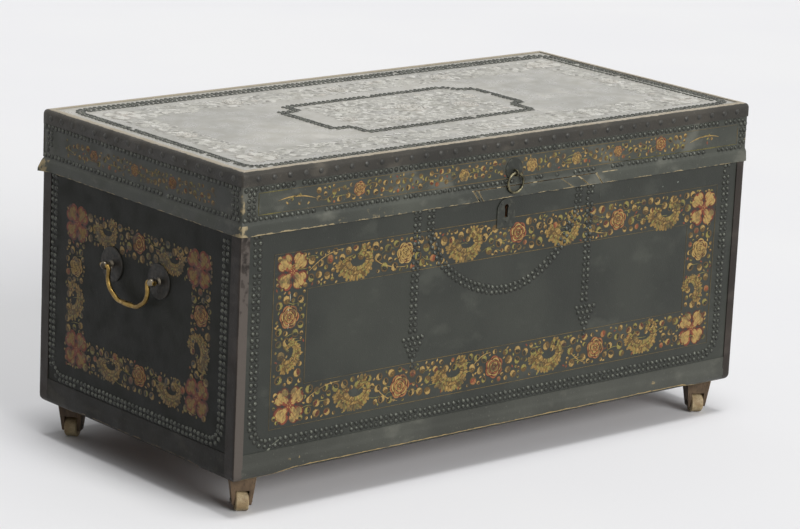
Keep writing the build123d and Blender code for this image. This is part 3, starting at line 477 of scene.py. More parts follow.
class Sculpt:
    """A mesh in the making, with a wear value and a paint colour on its points."""

    def __init__(self, name: str) -> None:
        """Start an empty mesh of a given name."""
        self.name = name
        self.bm = bmesh.new()
        self.bm.verts.layers.float.new("wear")
        self.bm.verts.layers.float_color.new("paint")

    def colour(self, verts: Sequence[bmesh.types.BMVert], colour: Shade) -> None:
        """Paint points in one screen colour."""
        layer = self.bm.verts.layers.float_color["paint"]
        for vert in verts:
            vert[layer] = shade(colour)

    def lay(
        self,
        us: Sequence[float],
        vs: Sequence[float],
        place: Callable[[float, float], Vector],
        wear: Callable[[float, float], float] = lambda u, v: 0.0,
    ) -> list[bmesh.types.BMVert]:
        """Lay a sheet whose points follow a rule.

        Args:
            us: Places of its columns.
            vs: Places of its rows, from low to high.
            place: Gives the point of a column and a row.
            wear: Gives how worn the sheet is there, from 0 to 1.

        Returns:
            The sheet's points, row by row.
        """
        layer = self.bm.verts.layers.float["wear"]
        made = bmesh.ops.create_grid(
            self.bm, x_segments=len(us) - 1, y_segments=len(vs) - 1, size=1.0
        )["verts"]
        for index, vert in enumerate(made):
            row, column = divmod(index, len(us))
            vert.co = place(us[column], vs[row])
            vert[layer] = wear(us[column], vs[row])
        return made

    def cut(self, inside: Callable[[Vector], bool]) -> None:
        """Cut away the faces whose middle lies inside a shape."""
        gone = [face for face in self.bm.faces if inside(face.calc_center_median())]
        bmesh.ops.delete(self.bm, geom=gone, context="FACES")

    def thicken(self, thickness: float) -> None:
        """Join the seams of all sheets and give them a wall behind their outer face."""
        bmesh.ops.remove_doubles(self.bm, verts=self.bm.verts[:], dist=0.02)
        self.bm.normal_update()
        bmesh.ops.solidify(self.bm, geom=self.bm.faces[:], thickness=thickness)

    def dome(
        self, size: Triple, colour: Shade, at: Point = (0.0, 0.0), turn: float = 0.0,
        sides: int = 8, rings: int = 2,
    ) -> None:
        """Set a low dome with a flat foot on the plane z = 0.

        Args:
            size: Half width, half length and height.
            colour: Screen colour of its paint.
            at: Place of its middle.
            turn: Turn about its middle, in degrees.
            sides: Number of sides.
            rings: Rings of the whole ball that it is cut from.
        """
        made = bmesh.ops.create_uvsphere(self.bm, u_segments=sides, v_segments=rings, radius=1.0)
        ball = made["verts"]
        low = [vert for vert in ball if vert.co.z < -0.01]
        bmesh.ops.delete(self.bm, geom=low, context="VERTS")
        dome = [vert for vert in ball if vert.is_valid]
        rim = {edge for vert in dome for edge in vert.link_edges if edge.is_boundary}
        bmesh.ops.holes_fill(self.bm, edges=list(rim))
        turned = Matrix.Rotation(math.radians(turn), 4, "Z") @ Matrix.Diagonal((*size, 1.0))
        bmesh.ops.transform(self.bm, matrix=Matrix.Translation((*at, 0.0)) @ turned, verts=dome)
        self.colour(dome, colour)

    def ribbon(self, line: Sequence[Point], width: float, rise: float, colour: Shade) -> None:
        """Lay a flat raised stroke along a line, thin at both of its ends.

        Args:
            line: Points of its middle on the plane z = 0.
            width: Full width at its middle.
            rise: Height.
            colour: Screen colour of its paint.
        """
        points = [Vector(point) for point in line]
        last = len(points) - 1

        def place(u: float, v: float) -> Vector:
            """Give the point of one side of the stroke."""
            index = round(u)
            along = points[min(index + 1, last)] - points[max(index - 1, 0)]
            side = Vector((-along.y, along.x)).normalized()
            half = width / 2 * (0.35 + 0.65 * math.sin(math.pi * index / last))
            return (points[index] + side * v * half).to_3d() + Vector((0, 0, rise))

        made = self.lay(range(len(points)), (-1, 1), place)
        self.colour(made, colour)
        bmesh.ops.solidify(
            self.bm, geom=list({face for vert in made for face in vert.link_faces}), thickness=rise
        )

    def stamp(self, shape: bpy.types.Mesh, matrix: Matrix) -> None:
        """Add a copy of a finished shape at a place.

        Args:
            shape: The shape.
            matrix: Matrix from its own plane to the place.
        """
        copy = shape.copy()
        copy.transform(matrix)
        self.bm.from_mesh(copy)
        bpy.data.meshes.remove(copy)

    def mesh(self) -> bpy.types.Mesh:
        """Give the mesh in millimetres, and let go of the mesh in the making."""
        mesh = bpy.data.meshes.new(self.name)
        self.bm.to_mesh(mesh)
        self.bm.free()
        return mesh

    def finish(
        self, body: str, slot: str, material: bpy.types.Material, replaced: Sequence[str] = (),
        sharp: float = 40.0,
    ) -> bpy.types.Object:
        """Set the mesh in the scene as a piece of the trunk.

        Args:
            body: Body that it rides on.
            slot: Material slot of the record; not used.
            material: Its material.
            replaced: CAD nodes that it stands for.
            sharp: Angle above which an edge stays sharp, in degrees.

        Returns:
            The piece.
        """
        mesh = self.mesh()
        mesh.transform(Matrix.Scale(MM, 4))
        mesh.shade_smooth()
        mesh.set_sharp_from_angle(angle=math.radians(sharp))
        piece = bpy.data.objects.new(self.name, mesh)
        bpy.context.scene.collection.objects.link(piece)
        mesh.materials.append(material)
        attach(piece, body)
        if replaced:
            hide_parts(*replaced)
        LOG.info("%s: %d faces on %s", self.name, len(mesh.polygons), body)
        return piece


# ------------------------------------------------------------------ the trunk's surfaces


class Side(Enum):
    """The trunk's sides: the way across, the way up and the way out of each."""

    LEFT = ((0, -1, 0), (0, 0, 1), (-1, 0, 0))
    FRONT = ((1, 0, 0), (0, 0, 1), (0, -1, 0))
    RIGHT = ((0, 1, 0), (0, 0, 1), (1, 0, 0))
    BACK = ((-1, 0, 0), (0, 0, 1), (0, 1, 0))
    TOP = ((1, 0, 0), (0, 1, 0), (0, 0, 1))


ROUND = (Side.LEFT, Side.FRONT, Side.RIGHT, Side.BACK)


@dataclass(frozen=True)
class Panel:
    """A flat face on one side of the trunk, at a level out from its middle."""

    side: Side
    level: float

    def at(self, u: float, v: float, lift: float = 0.0) -> Vector:
        """Give the point that lies u across, v up and a lift above the face."""
        across, up, out = (Vector(axis) for axis in self.side.value)
        return across * u + up * v + out * (self.level + lift)

    def place(self, u: float, v: float, turn: float = 0.0, size: float = 1.0) -> Matrix:
        """Give the matrix that sets a shape on the face.

        Args:
            u: Place across.
            v: Place up.
            turn: Turn on the face, in degrees.
            size: Scale of the shape.

        Returns:
            The matrix from the shape's plane z = 0 to the face.
        """
        axes = Matrix([Vector(axis) for axis in self.side.value]).transposed().to_4x4()
        turned = Matrix.Rotation(math.radians(turn), 4, "Z") @ Matrix.Scale(size, 4)
        return Matrix.Translation(self.at(u, v)) @ axes @ turned


@dataclass(frozen=True)
class Girdle:
    """The outline that goes round the trunk: left, front, right, back, with rounded corners.

    A stop on it is a number: 2k to 2k + 1 runs along side k, and 2k + 1 to 2k + 2 round the
    corner after it.
    """

    half_x: float
    half_y: float
    corner: float

    def reach(self, side: int) -> float:
        """Give half the length of a side's straight run."""
        return (self.half_x if side % 2 else self.half_y) - self.corner

    def along(self, side: int, marks: Sequence[float]) -> list[float]:
        """Give the stops at distances across one side."""
        return [2 * side + (mark / self.reach(side) + 1) / 2 for mark in marks]

    def run(self, side: int, step: float) -> list[float]:
        """Give evenly spaced stops along one whole side."""
        return self.along(side, stepped(-self.reach(side), self.reach(side), step))

    def turn(self, side: int) -> list[float]:
        """Give the stops inside the corner after a side."""
        return [2 * side + 1 + part for part in (0.25, 0.5, 0.75)]

    def ring(self, step: float) -> list[float]:
        """Give the stops of the whole outline, its last the same place as its first.

        Args:
            step: Distance between stops on the straight runs.

        Returns:
            The stops in order.
        """
        stops = []
        for side in range(4):
            stops += self.run(side, step) + self.turn(side)
        return stops + [8.0]

    def point(self, stop: float, inset: float, height: float) -> Vector:
        """Give a point on the outline.

        Args:
            stop: Place along the outline.
            inset: Distance in from it.
            height: Height above the floor.

        Returns:
            The point.
        """
        side, part = divmod(stop % 8, 2)
        across, _, out = (Vector(axis) for axis in ROUND[int(side)].value)
        radius = max(self.corner - inset, 0.05)
        half, other = (self.half_x, self.half_y) if side % 2 else (self.half_y, self.half_x)
        end = across * (half - inset - radius)
        face = out * (other - inset - radius)
        if part <= 1:
            spot = end * (2 * part - 1) + face + out * radius
        else:
            angle = math.radians(90 * (part - 1))
            spot = end + face + (out * math.cos(angle) + across * math.sin(angle)) * radius
        return spot + Vector((0, 0, height))

    def mark(self, stop: float) -> tuple[int, float]:
        """Give the side of a stop and its distance across that side."""
        side, part = divmod(stop % 8, 2)
        return int(side), (2 * min(part, 1.0) - 1) * self.reach(int(side))


CORNER_PARTS = 6


def stepped(low: float, high: float, step: float) -> list[float]:
    """Divide a stretch into steps of about one length, both of its ends included."""
    count = max(1, round((high - low) / step))
    return [low + (high - low) * index / count for index in range(count + 1)]


def rounded(radius: float, centre: float, count: int = 5) -> list[Point]:
    """Give the profile of a rounded lower edge, as insets and heights from below.

    Args:
        radius: Radius of the rounding.
        centre: Height of its centre.
        count: Number of steps.

    Returns:
        Points from the underside up to the start of the flat face.
    """
    angles = [math.radians(90 * index / count) for index in range(count + 1)]
    return [(radius * (1 - math.sin(a)), centre - radius * math.cos(a)) for a in angles]


def walk(corners: Sequence[Triple], closed: bool, step: float) -> list[tuple[Point, Point]]:
    """Walk a line with rounded corners in even steps.

    Args:
        corners: Each corner's place and radius.
        closed: Whether the last corner joins the first.
        step: Length of a step.

    Returns:
        The place and the left-hand normal of each step.
    """
    spots = [Vector(corner[:2]) for corner in corners]
    line = []
    for index, spot in enumerate(spots):
        inner = closed or 0 < index < len(spots) - 1
        radius = corners[index][2] if inner else 0.0
        if radius == 0:
            line.append(spot)
            continue
        back = (spots[index - 1] - spot).normalized()
        ahead = (spots[(index + 1) % len(spots)] - spot).normalized()
        half = back.angle(ahead) / 2
        tangent = radius / math.tan(half)
        centre = spot + (back + ahead).normalized() * radius / math.sin(half)
        start = spot + back * tangent - centre
        finish = spot + ahead * tangent - centre
        for part in range(CORNER_PARTS + 1):
            line.append(centre + start.lerp(finish, part / CORNER_PARTS).normalized() * radius)
    if closed:
        line.append(line[0])
    steps = []
    left = 0.0
    for first, second in zip(line, line[1:]):
        along = second - first
        while left < along.length:
            way = along.normalized()
            steps.append(((first + way * left)[:], (-way.y, way.x)))
            left += step
        left -= along.length
    return steps


# ------------------------------------------------------------------ tacks


@dataclass
class Tacks:
    """The small round-headed tacks that hold the hides down in single and double rows."""

    radius: float = 3.1
    rise: float = 2.0
    pitch: float = 8.75
    row_gap: float = 7.8
    missing: float = 0.015
    off_mark: float = 0.5
    # Shift of the dark ring under each tack, down and to one side: it is painted shadow.
    grime_slip: Point = (0.7, -0.5)
    tassel_rows: tuple[int, ...] = (5, 4, 3, 2, 1, 1)
    tassel_pitch: Point = (8.4, 8.2)
    dice: random.Random = field(default_factory=lambda: random.Random(11))

    def begin(self, name: str) -> None:
        """Start a new set of tacks.

        Args:
            name: Name of the set, which holds the word tacks.
        """
        head = Sculpt("tack_head")
        head.dome((1.0, 1.0, 1.0), (40, 40, 34), rings=6)
        self.head = head.mesh()
        self.heads = Sculpt(name)
        # A dark ring under each head, set off to one side: painted shadow of the tack, with some dirt.
        ring = Sculpt("tack_ring")
        ring.dome((1.32, 1.32, 0.1), (28, 28, 24), sides=8)
        self.ring = ring.mesh()
        self.grime = Sculpt(name.replace("tacks", "tack_grime"))

    def tack(self, panel: Panel, u: float, v: float) -> None:
        """Drive one tack, a little off its mark, or leave it out where one was lost.

        Args:
            panel: Face that it is driven into.
            u: Place across.
            v: Place up.
        """
        if self.dice.random() < self.missing:
            return
        size = self.radius * self.dice.uniform(0.9, 1.06)
        off = self.off_mark
        spot = (u + self.dice.uniform(-off, off), v + self.dice.uniform(-off, off))
        squash = Matrix.Diagonal((1.0, 1.0, self.rise / self.radius, 1.0))
        turned = panel.place(*spot, self.dice.uniform(0, 45), size) @ squash
        self.heads.stamp(self.head, turned)
        # Lay the painted shadow ring under the head, shifted towards its shaded side.
        slip_u, slip_v = self.grime_slip
        self.grime.stamp(self.ring, panel.place(spot[0] + slip_u, spot[1] + slip_v, 0, size))

    def single(self, panel: Panel, start: Point, finish: Point) -> None:
        """Drive a single row of tacks between two places."""
        for spot, _ in walk([(*start, 0), (*finish, 0)], False, self.pitch):
            self.tack(panel, *spot)

    def double(self, panel: Panel, corners: Sequence[Triple], closed: bool = False) -> None:
        """Drive two rows of tacks side by side along a line.

        Args:
            panel: Face that they are driven into.
            corners: Each corner of the line and its radius.
            closed: Whether the line joins up.
        """
        for spot, normal in walk(corners, closed, self.pitch):
            for off in (-self.row_gap / 2, self.row_gap / 2):
                self.tack(panel, spot[0] + normal[0] * off, spot[1] + normal[1] * off)

    def tassel(self, panel: Panel, u: float, v: float) -> None:
        """Drive the tacks of a pointed tassel at the foot of a strap.

        Args:
            panel: Face that they are driven into.
            u: Place across of its middle.
            v: Place up of its top row.
        """
        across, down = self.tassel_pitch
        for row, count in enumerate(self.tassel_rows):
            for index in range(count):
                self.tack(panel, u + (index - (count - 1) / 2) * across, v - row * down)

    def end(self, body: str) -> None:
        """Set the finished set of tacks on a body."""
        self.heads.finish(body, "nail_metal", FINISHES["nail_metal"].material(), sharp=80.0)
        # The dark rings under the heads are painted shadow, with some dirt.
        self.grime.finish(body, "nail_metal", Paint("tack_grime", (40, 40, 35), 0.6).material())
        bpy.data.meshes.remove(self.head)
        bpy.data.meshes.remove(self.ring)


# ------------------------------------------------------------------ painted ornament


class Palette(Enum):
    """The painter's colours: ochre, umber, pink, red, deep red, olive, line, dark, cream, gold."""

    SIDES = (
        (178, 148, 90), (98, 76, 43), (160, 110, 70), (134, 69, 48), (88, 43, 33),
        (144, 134, 74), (116, 97, 58), (38, 36, 30), (202, 197, 178), (150, 121, 68),
    )
    # Pale grey copies of the same colours for the top: painted sheen over its paint.
    TOP = (
        (203, 201, 193), (156, 154, 147), (198, 193, 184), (174, 167, 158), (130, 127, 120),
        (184, 183, 174), (144, 142, 134), (108, 106, 100), (211, 209, 202), (192, 190, 181),
    )


class Rose(Enum):
    """The kinds of rose, by the colour of their petals."""

    PINK = "pink"
    RED = "red"
    OCHRE = "ochre"


SQUARE = 50.0**2
HAIRLINE = 0.8
SCROLL_EYE = Vector((4.0, 7.0))


class Painter:
    """Paints flowers, scrolls and berries as low raised strokes on a face."""

    def __init__(self, name: str, palette: Palette, seed: int, ruddy: bool = False) -> None:
        """Mix the colours and cut the shapes that are painted many times.

        Args:
            name: Name of the painting.
            palette: Its colours.
            seed: Seed of its scatter.
            ruddy: Whether its corner flowers are red rather than ochre.
        """
        (
            self.ochre, self.umber, self.pink, self.red, self.crimson,
            self.olive, self.line, self.dark, self.cream, self.gold,
        ) = palette.value
        self.dice = random.Random(seed)
        self.work = Sculpt(name)
        self.taken: list[Triple] = []
        self.berries = [
            self.berry(*colours)
            for colours in (
                (self.ochre, self.dark, self.gold), (self.ochre, self.umber, self.ochre),
                (self.olive, self.dark, self.olive), (self.ochre, self.crimson, self.pink),
                (self.pink, self.red, self.ochre), (self.olive, self.umber, self.ochre),
            )
        ]
        self.buds = [self.bud(colour) for colour in (self.red, self.ochre, self.olive)]
        self.flowers = self.corner_flower(self.gold if ruddy else self.ochre, 0.4 if ruddy else 0.0)
        self.scroll = self.crescent()
        rust = tuple((first + second) / 2 for first, second in zip(self.red, self.pink))
        petals = {Rose.PINK: self.pink, Rose.RED: rust, Rose.OCHRE: self.ochre}
        self.roses = {kind: self.rose(petal) for kind, petal in petals.items()}

    def berry(self, flesh: Shade, hollow: Shade, eye: Shade) -> bpy.types.Mesh:
        """Cut a berry of unit radius: a shaded rim, a ring of flesh, a hollow and an eye.

        Args:
            flesh: Colour of the ring.
            hollow: Colour of the hollow.
            eye: Colour of the eye.

        Returns:
            The berry.
        """
        shape = Sculpt("berry")
        shape.dome((1.0, 0.94, 0.04), self.umber, sides=8)
        shape.dome((0.9, 0.84, 0.06), flesh, (-0.04, 0.04), sides=8)
        shape.dome((0.74, 0.54, 0.12), hollow, (0.14, -0.06), 40, sides=7)
        shape.dome((0.32, 0.2, 0.15), eye, (0.2, -0.04), 60, sides=5)
        return shape.mesh()

    def bud(self, colour: Shade) -> bpy.types.Mesh:
        """Cut a pointed bud of unit length with its dark cup."""
        shape = Sculpt("bud")
        shape.dome((0.5, 1.0, 0.1), colour, (0.0, 0.2), sides=6)
        shape.dome((0.4, 0.42, 0.13), self.umber, (0.0, -0.55), sides=6)
        return shape.mesh()

    def rose(self, petal: Shade) -> bpy.types.Mesh:
        """Cut an open rose of unit radius: rings of petals over a dark ground.

        Args:
            petal: Colour of every other ring.

        Returns:
            The rose.
        """
        shape = Sculpt("rose")
        shape.dome((0.92, 0.92, 0.012), self.crimson, sides=12)
        shape.dome((0.8, 0.8, 0.016), self.umber, (-0.05, 0.04), sides=10)
        counts = (6, 5, 4, 4, 3)
        reaches = (0.87, 0.7, 0.53, 0.37, 0.22)
        colours = (petal, self.ochre, petal, self.ochre, petal)
        for ring, (count, reach, colour) in enumerate(zip(counts, reaches, colours)):
            for index in range(count):
                start = 360 / count * index + ring * 37
                line = []
                for step in range(6):
                    angle = math.radians(start + 330 / count * step / 5)
                    wide = reach * (0.93 + 0.12 * math.sin(math.pi * step / 5))
                    line.append((wide * math.cos(angle), wide * math.sin(angle)))
                shape.ribbon(line, 0.15, 0.02 + 0.004 * ring, colour)
        shape.dome((0.12, 0.12, 0.045), self.ochre, sides=6)
        return shape.mesh()

    def corner_flower(self, petal: Shade, edged: float) -> bpy.types.Mesh:
        """Cut the four-petalled flower of the corners, 52 mm across, its red edges widened.

        Args:
            petal: Colour of the petals.
            edged: How much wider the red edges are, in millimetres.

        Returns:
            The flower.
        """
        shape = Sculpt("corner_flower")
        lobes = ((0.0, 17.5, 11.5, 9.6), (-7.2, 18.5, 8.2, 6.4), (7.2, 18.5, 8.2, 6.4), (0.0, 9.5, 7.0, 6.2))
        for quarter in range(4):
            turn = 45 + 90 * quarter
            spun = Matrix.Rotation(math.radians(turn), 2)
            for colour, grow, rise in (
                (self.crimson, 0.6 + edged, 0.1), (self.red, edged, 0.14), (petal, -0.7 - edged, 0.19),
            ):
                for off, reach, long, wide in lobes:
                    spot = spun @ Vector((reach, off + self.dice.uniform(-0.6, 0.6)))
                    shape.dome((long + grow, wide + grow, rise), colour, spot[:], turn, sides=10)
            for off, long, colour in (
                (-7.6, 5.0, self.umber), (-3.6, 7.5, self.red), (0.6, 6.0, self.gold), (4.6, 7.0, self.pink),
                (8.2, 4.6, self.red),
            ):
                spot = spun @ Vector((16.5 - abs(off) * 0.3, off))
                shape.dome((long, 0.8, 0.27), colour, spot[:], turn + off * 2.4, sides=5)
        for index in range(9):
            turn = 40 * index
            spot = Matrix.Rotation(math.radians(turn), 2) @ Vector((4.6, 0))
            shape.dome((5.0, 1.2, 0.32), self.red, spot[:], turn, sides=6)
        for index in range(5):
            spot = Matrix.Rotation(math.radians(72 * index), 2) @ Vector((2.6, 0))
            shape.dome((1.3, 1.3, 0.36), self.ochre, spot[:], sides=5)
        return shape.mesh()

    def crescent(self) -> bpy.types.Mesh:
        """Cut the scalloped scroll that curls round an open eye, 66 mm long."""
        shape = Sculpt("scroll")
        outer = (
            (165, 20.0), (180, 39.0), (200, 35.0), (225, 29.0), (270, 23.5), (315, 25.0), (360, 23.0),
            (405, 25.0), (425, 22.0),
        )
        start, finish = outer[0][0], outer[-1][0]
        steps = 44
        for step in range(steps):
            angle = start + (finish - start) * step / (steps - 1)
            turn = math.radians(angle)
            way = Vector((math.cos(turn), math.sin(turn)))
            near = 1 / math.hypot(way.x / 14.0, way.y / 8.5)
            far = between(outer, angle) * (1 + 0.05 * math.sin(step * 1.9))
            depth = far - near
            middle = SCROLL_EYE + way * (near + far) / 2
            shape.dome((depth / 2 + 1.6, 4.2, 0.14), self.umber, middle[:], angle, sides=6)
            rows = 2 if depth < 12 else 3
            for row in range(rows):
                spot = SCROLL_EYE + way * (near + depth * (row + 0.5) / rows)
                mixed = (self.gold, self.ochre, self.olive, self.umber)
                colour = self.dice.choices(mixed, (10, 3, 4, 5))[0]
                tilt = angle + self.dice.uniform(-24, 24)
                size = (depth / rows / 2 + 1.6, 2.0, 0.2 + 0.03 * row)
                shape.dome(size, colour, spot[:], tilt, sides=5)
            if step % 2:
                tip = SCROLL_EYE + way * (far + 0.6)
                shape.dome((3.0, 2.4, 0.2), self.gold, tip[:], angle, sides=6)
        return shape.mesh()

    def paint_leaves(self, panel: Panel, low: Point, high: Point, count: int) -> None:
        """Scatter pale pointed leaves over a rectangle.

        Args:
            panel: Face that is painted.
            low: Lower left corner.
            high: Upper right corner.
            count: Leaves on a square of 50 mm.
        """
        squares = (high[0] - low[0]) * (high[1] - low[1]) / SQUARE
        for _ in range(round(squares * count)):
            spot = (self.dice.uniform(low[0] + 6, high[0] - 6), self.dice.uniform(low[1] + 4, high[1] - 4))
            leaf = Sculpt("leaf")
            size = (self.dice.uniform(4, 9), self.dice.uniform(2.6, 5.4), self.dice.uniform(0.1, 0.2))
            colour = self.dice.choices((self.cream, self.ochre, self.olive, self.umber), (5, 4, 2, 3))[0]
            leaf.dome(size, colour, sides=8)
            shape = leaf.mesh()
            self.work.stamp(shape, panel.place(*spot, self.dice.uniform(0, 180)))
            bpy.data.meshes.remove(shape)

    def keep(self, u: float, v: float, radius: float) -> None:
        """Remember that a place is painted."""
        self.taken.append((u, v, radius))

    def free(self, u: float, v: float, radius: float) -> bool:
        """Tell whether a place is still bare."""
        return all((u - a) ** 2 + (v - b) ** 2 > (radius + c) ** 2 for a, b, c in self.taken)

    def paint_corner(self, panel: Panel, u: float, v: float) -> None:
        """Paint a corner flower."""
        self.work.stamp(self.flowers, panel.place(u, v, self.dice.uniform(-5, 5)))
        self.keep(u, v, 23)

    def paint_rose(self, panel: Panel, u: float, v: float, radius: float, kind: Rose) -> None:
        """Paint a rose of a given radius and colour."""
        self.work.stamp(self.roses[kind], panel.place(u, v, self.dice.uniform(0, 60), radius))
        self.keep(u, v, radius - 0.5)

    def paint_scroll(self, panel: Panel, u: float, v: float, turn: float, size: float) -> None:
        """Paint a scroll, and keep the ground under its whole length.

        Args:
            panel: Face that is painted.
            u: Place across.
            v: Place up.
            turn: Turn on the face, in degrees.
            size: Scale of the scroll.
        """
        self.work.stamp(self.scroll, panel.place(u, v, turn, size))
        for along in (-24, -12, 0, 12, 24):
            spot = Matrix.Rotation(math.radians(turn), 2) @ Vector((along * size, -5 * size))
            self.keep(u + spot.x, v + spot.y, 11.4 * size)

    def compose(
        self, panel: Panel, corners: Sequence[Point] = (), scrolls: Sequence[tuple[float, ...]] = (),
        roses: Sequence[tuple[float, float, float, Rose]] = (), flip: int = 1,
    ) -> None:
        """Paint corner flowers, then scrolls and then roses at their places.

        Args:
            panel: Face that is painted.
            corners: Place of each corner flower.
            scrolls: Place, turn and size of each scroll.
            roses: Place, radius and kind of each rose.
            flip: 1, or -1 to paint everything turned about.
        """
        for u, v in corners:
            self.paint_corner(panel, flip * u, v)
        for u, v, turn, size in scrolls:
            self.paint_scroll(panel, flip * u, v, flip * turn, size)
        for u, v, radius, kind in roses:
            self.paint_rose(panel, flip * u, v, radius, kind)

    def paint_berry(self, panel: Panel, u: float, v: float, radius: float) -> None:
        """Paint a berry of a given radius."""
        pick = self.dice.choices(self.berries, (5, 5, 4, 2, 1, 3))[0]
        self.work.stamp(pick, panel.place(u, v, self.dice.uniform(0, 360), radius))
        self.keep(u, v, radius + 0.1)

    def paint_bud(self, panel: Panel, u: float, v: float, length: float) -> None:
        """Paint a bud that points any way."""
        pick = self.dice.choices(self.buds, (2, 4, 4))[0]
        self.work.stamp(pick, panel.place(u, v, self.dice.uniform(0, 360), length))
        self.keep(u, v, length * 0.7)

    def paint_stroke(
        self, panel: Panel, line: Sequence[Point], width: float, colour: Shade | None = None
    ) -> None:
        """Paint a thin line through some points, curved where it has more than two.

        Args:
            panel: Face that is painted.
            line: Points of the line.
            width: Its width.
            colour: Its colour, or None for the line colour.
        """
        if len(line) > 2:
            start, middle, finish = (Vector(point) for point in line)
            parts = [index / 10 for index in range(11)]
            points = [start * (1 - t) ** 2 + middle * 2 * t * (1 - t) + finish * t**2 for t in parts]
        else:
            start, finish = (Vector(point) for point in line)
            count = max(2, round((finish - start).length / 30))
            points = [start.lerp(finish, index / count) for index in range(count + 1)]
        stroke = Sculpt("stroke")
        stroke.ribbon([point[:] for point in points], width, 0.22, colour or self.line)
        shape = stroke.mesh()
        self.work.stamp(shape, panel.place(0, 0))
        bpy.data.meshes.remove(shape)

    def paint_frame(self, panel: Panel, low: Point, high: Point) -> None:
        """Paint the four thin lines of a rectangle.

        Args:
            panel: Face that is painted.
            low: Lower left corner.
            high: Upper right corner.
        """
        corners = [low, (high[0], low[1]), high, (low[0], high[1]), low]
        for start, finish in zip(corners, corners[1:]):
            self.paint_stroke(panel, (start, finish), HAIRLINE)

    def fill(
        self, panel: Panel, low: Point, high: Point, sizes: Sequence[float], tries: int = 90
    ) -> None:
        """Fill the bare ground of a rectangle with berries, buds and curling tendrils.

        Args:
            panel: Face that is painted.
            low: Lower left corner.
            high: Upper right corner.
            sizes: Berry radii, the largest first.
            tries: Tries for each radius on a square of 50 mm.
        """
        squares = (high[0] - low[0]) * (high[1] - low[1]) / SQUARE
        for radius in sizes:
            for _ in range(round(squares * tries)):
                u = self.dice.uniform(low[0] + radius, high[0] - radius)
                v = self.dice.uniform(low[1] + radius, high[1] - radius)
                if not self.free(u, v, radius + 0.3):
                    continue
                if radius > 1.9:
                    self.paint_berry(panel, u, v, radius * self.dice.uniform(0.85, 1.08))
                else:
                    self.paint_bud(panel, u, v, radius * 1.5)
        for _ in range(round(squares * 2.2)):
            u = self.dice.uniform(low[0] + 12, high[0] - 12)
            v = self.dice.uniform(low[1] + 8, high[1] - 8)
            bend = Vector((self.dice.uniform(-18, 18), self.dice.uniform(-10, 10)))
            ends = ((u - 11, v), (u + bend.x * 0.4, v + bend.y), (u + 11, v + bend.y * 0.5))
            self.paint_stroke(panel, ends, HAIRLINE, self.olive)

    def end(self, body: str, slot: str, finish: Paint) -> None:
        """Set the finished painting on a body."""
        self.work.finish(body, slot, finish.material(), sharp=60.0)
        for shape in (*self.berries, *self.buds, *self.roses.values(), self.flowers, self.scroll):
            bpy.data.meshes.remove(shape)


# ------------------------------------------------------------------ the chest


@dataclass
class Case:
    """A box covered in hide, as the chest and its lid both are."""

    half_x: float
    half_y: float
    top: float
    body: str
    hide: float = 2.0
    strap: float = 1.2
    strap_corner: float = 2.4

    def panel(self, side: Side) -> Panel:
        """Give the outer face of the hide on one side, or on the top."""
        levels = {Side.TOP: self.top, Side.FRONT: self.half_y, Side.BACK: self.half_y}
        return Panel(side, levels.get(side, self.half_x))

    def strapped(self) -> Girdle:
        """Give the outline over the straps that lie on the hide."""
        return Girdle(self.half_x + self.strap, self.half_y + self.strap, self.strap_corner)


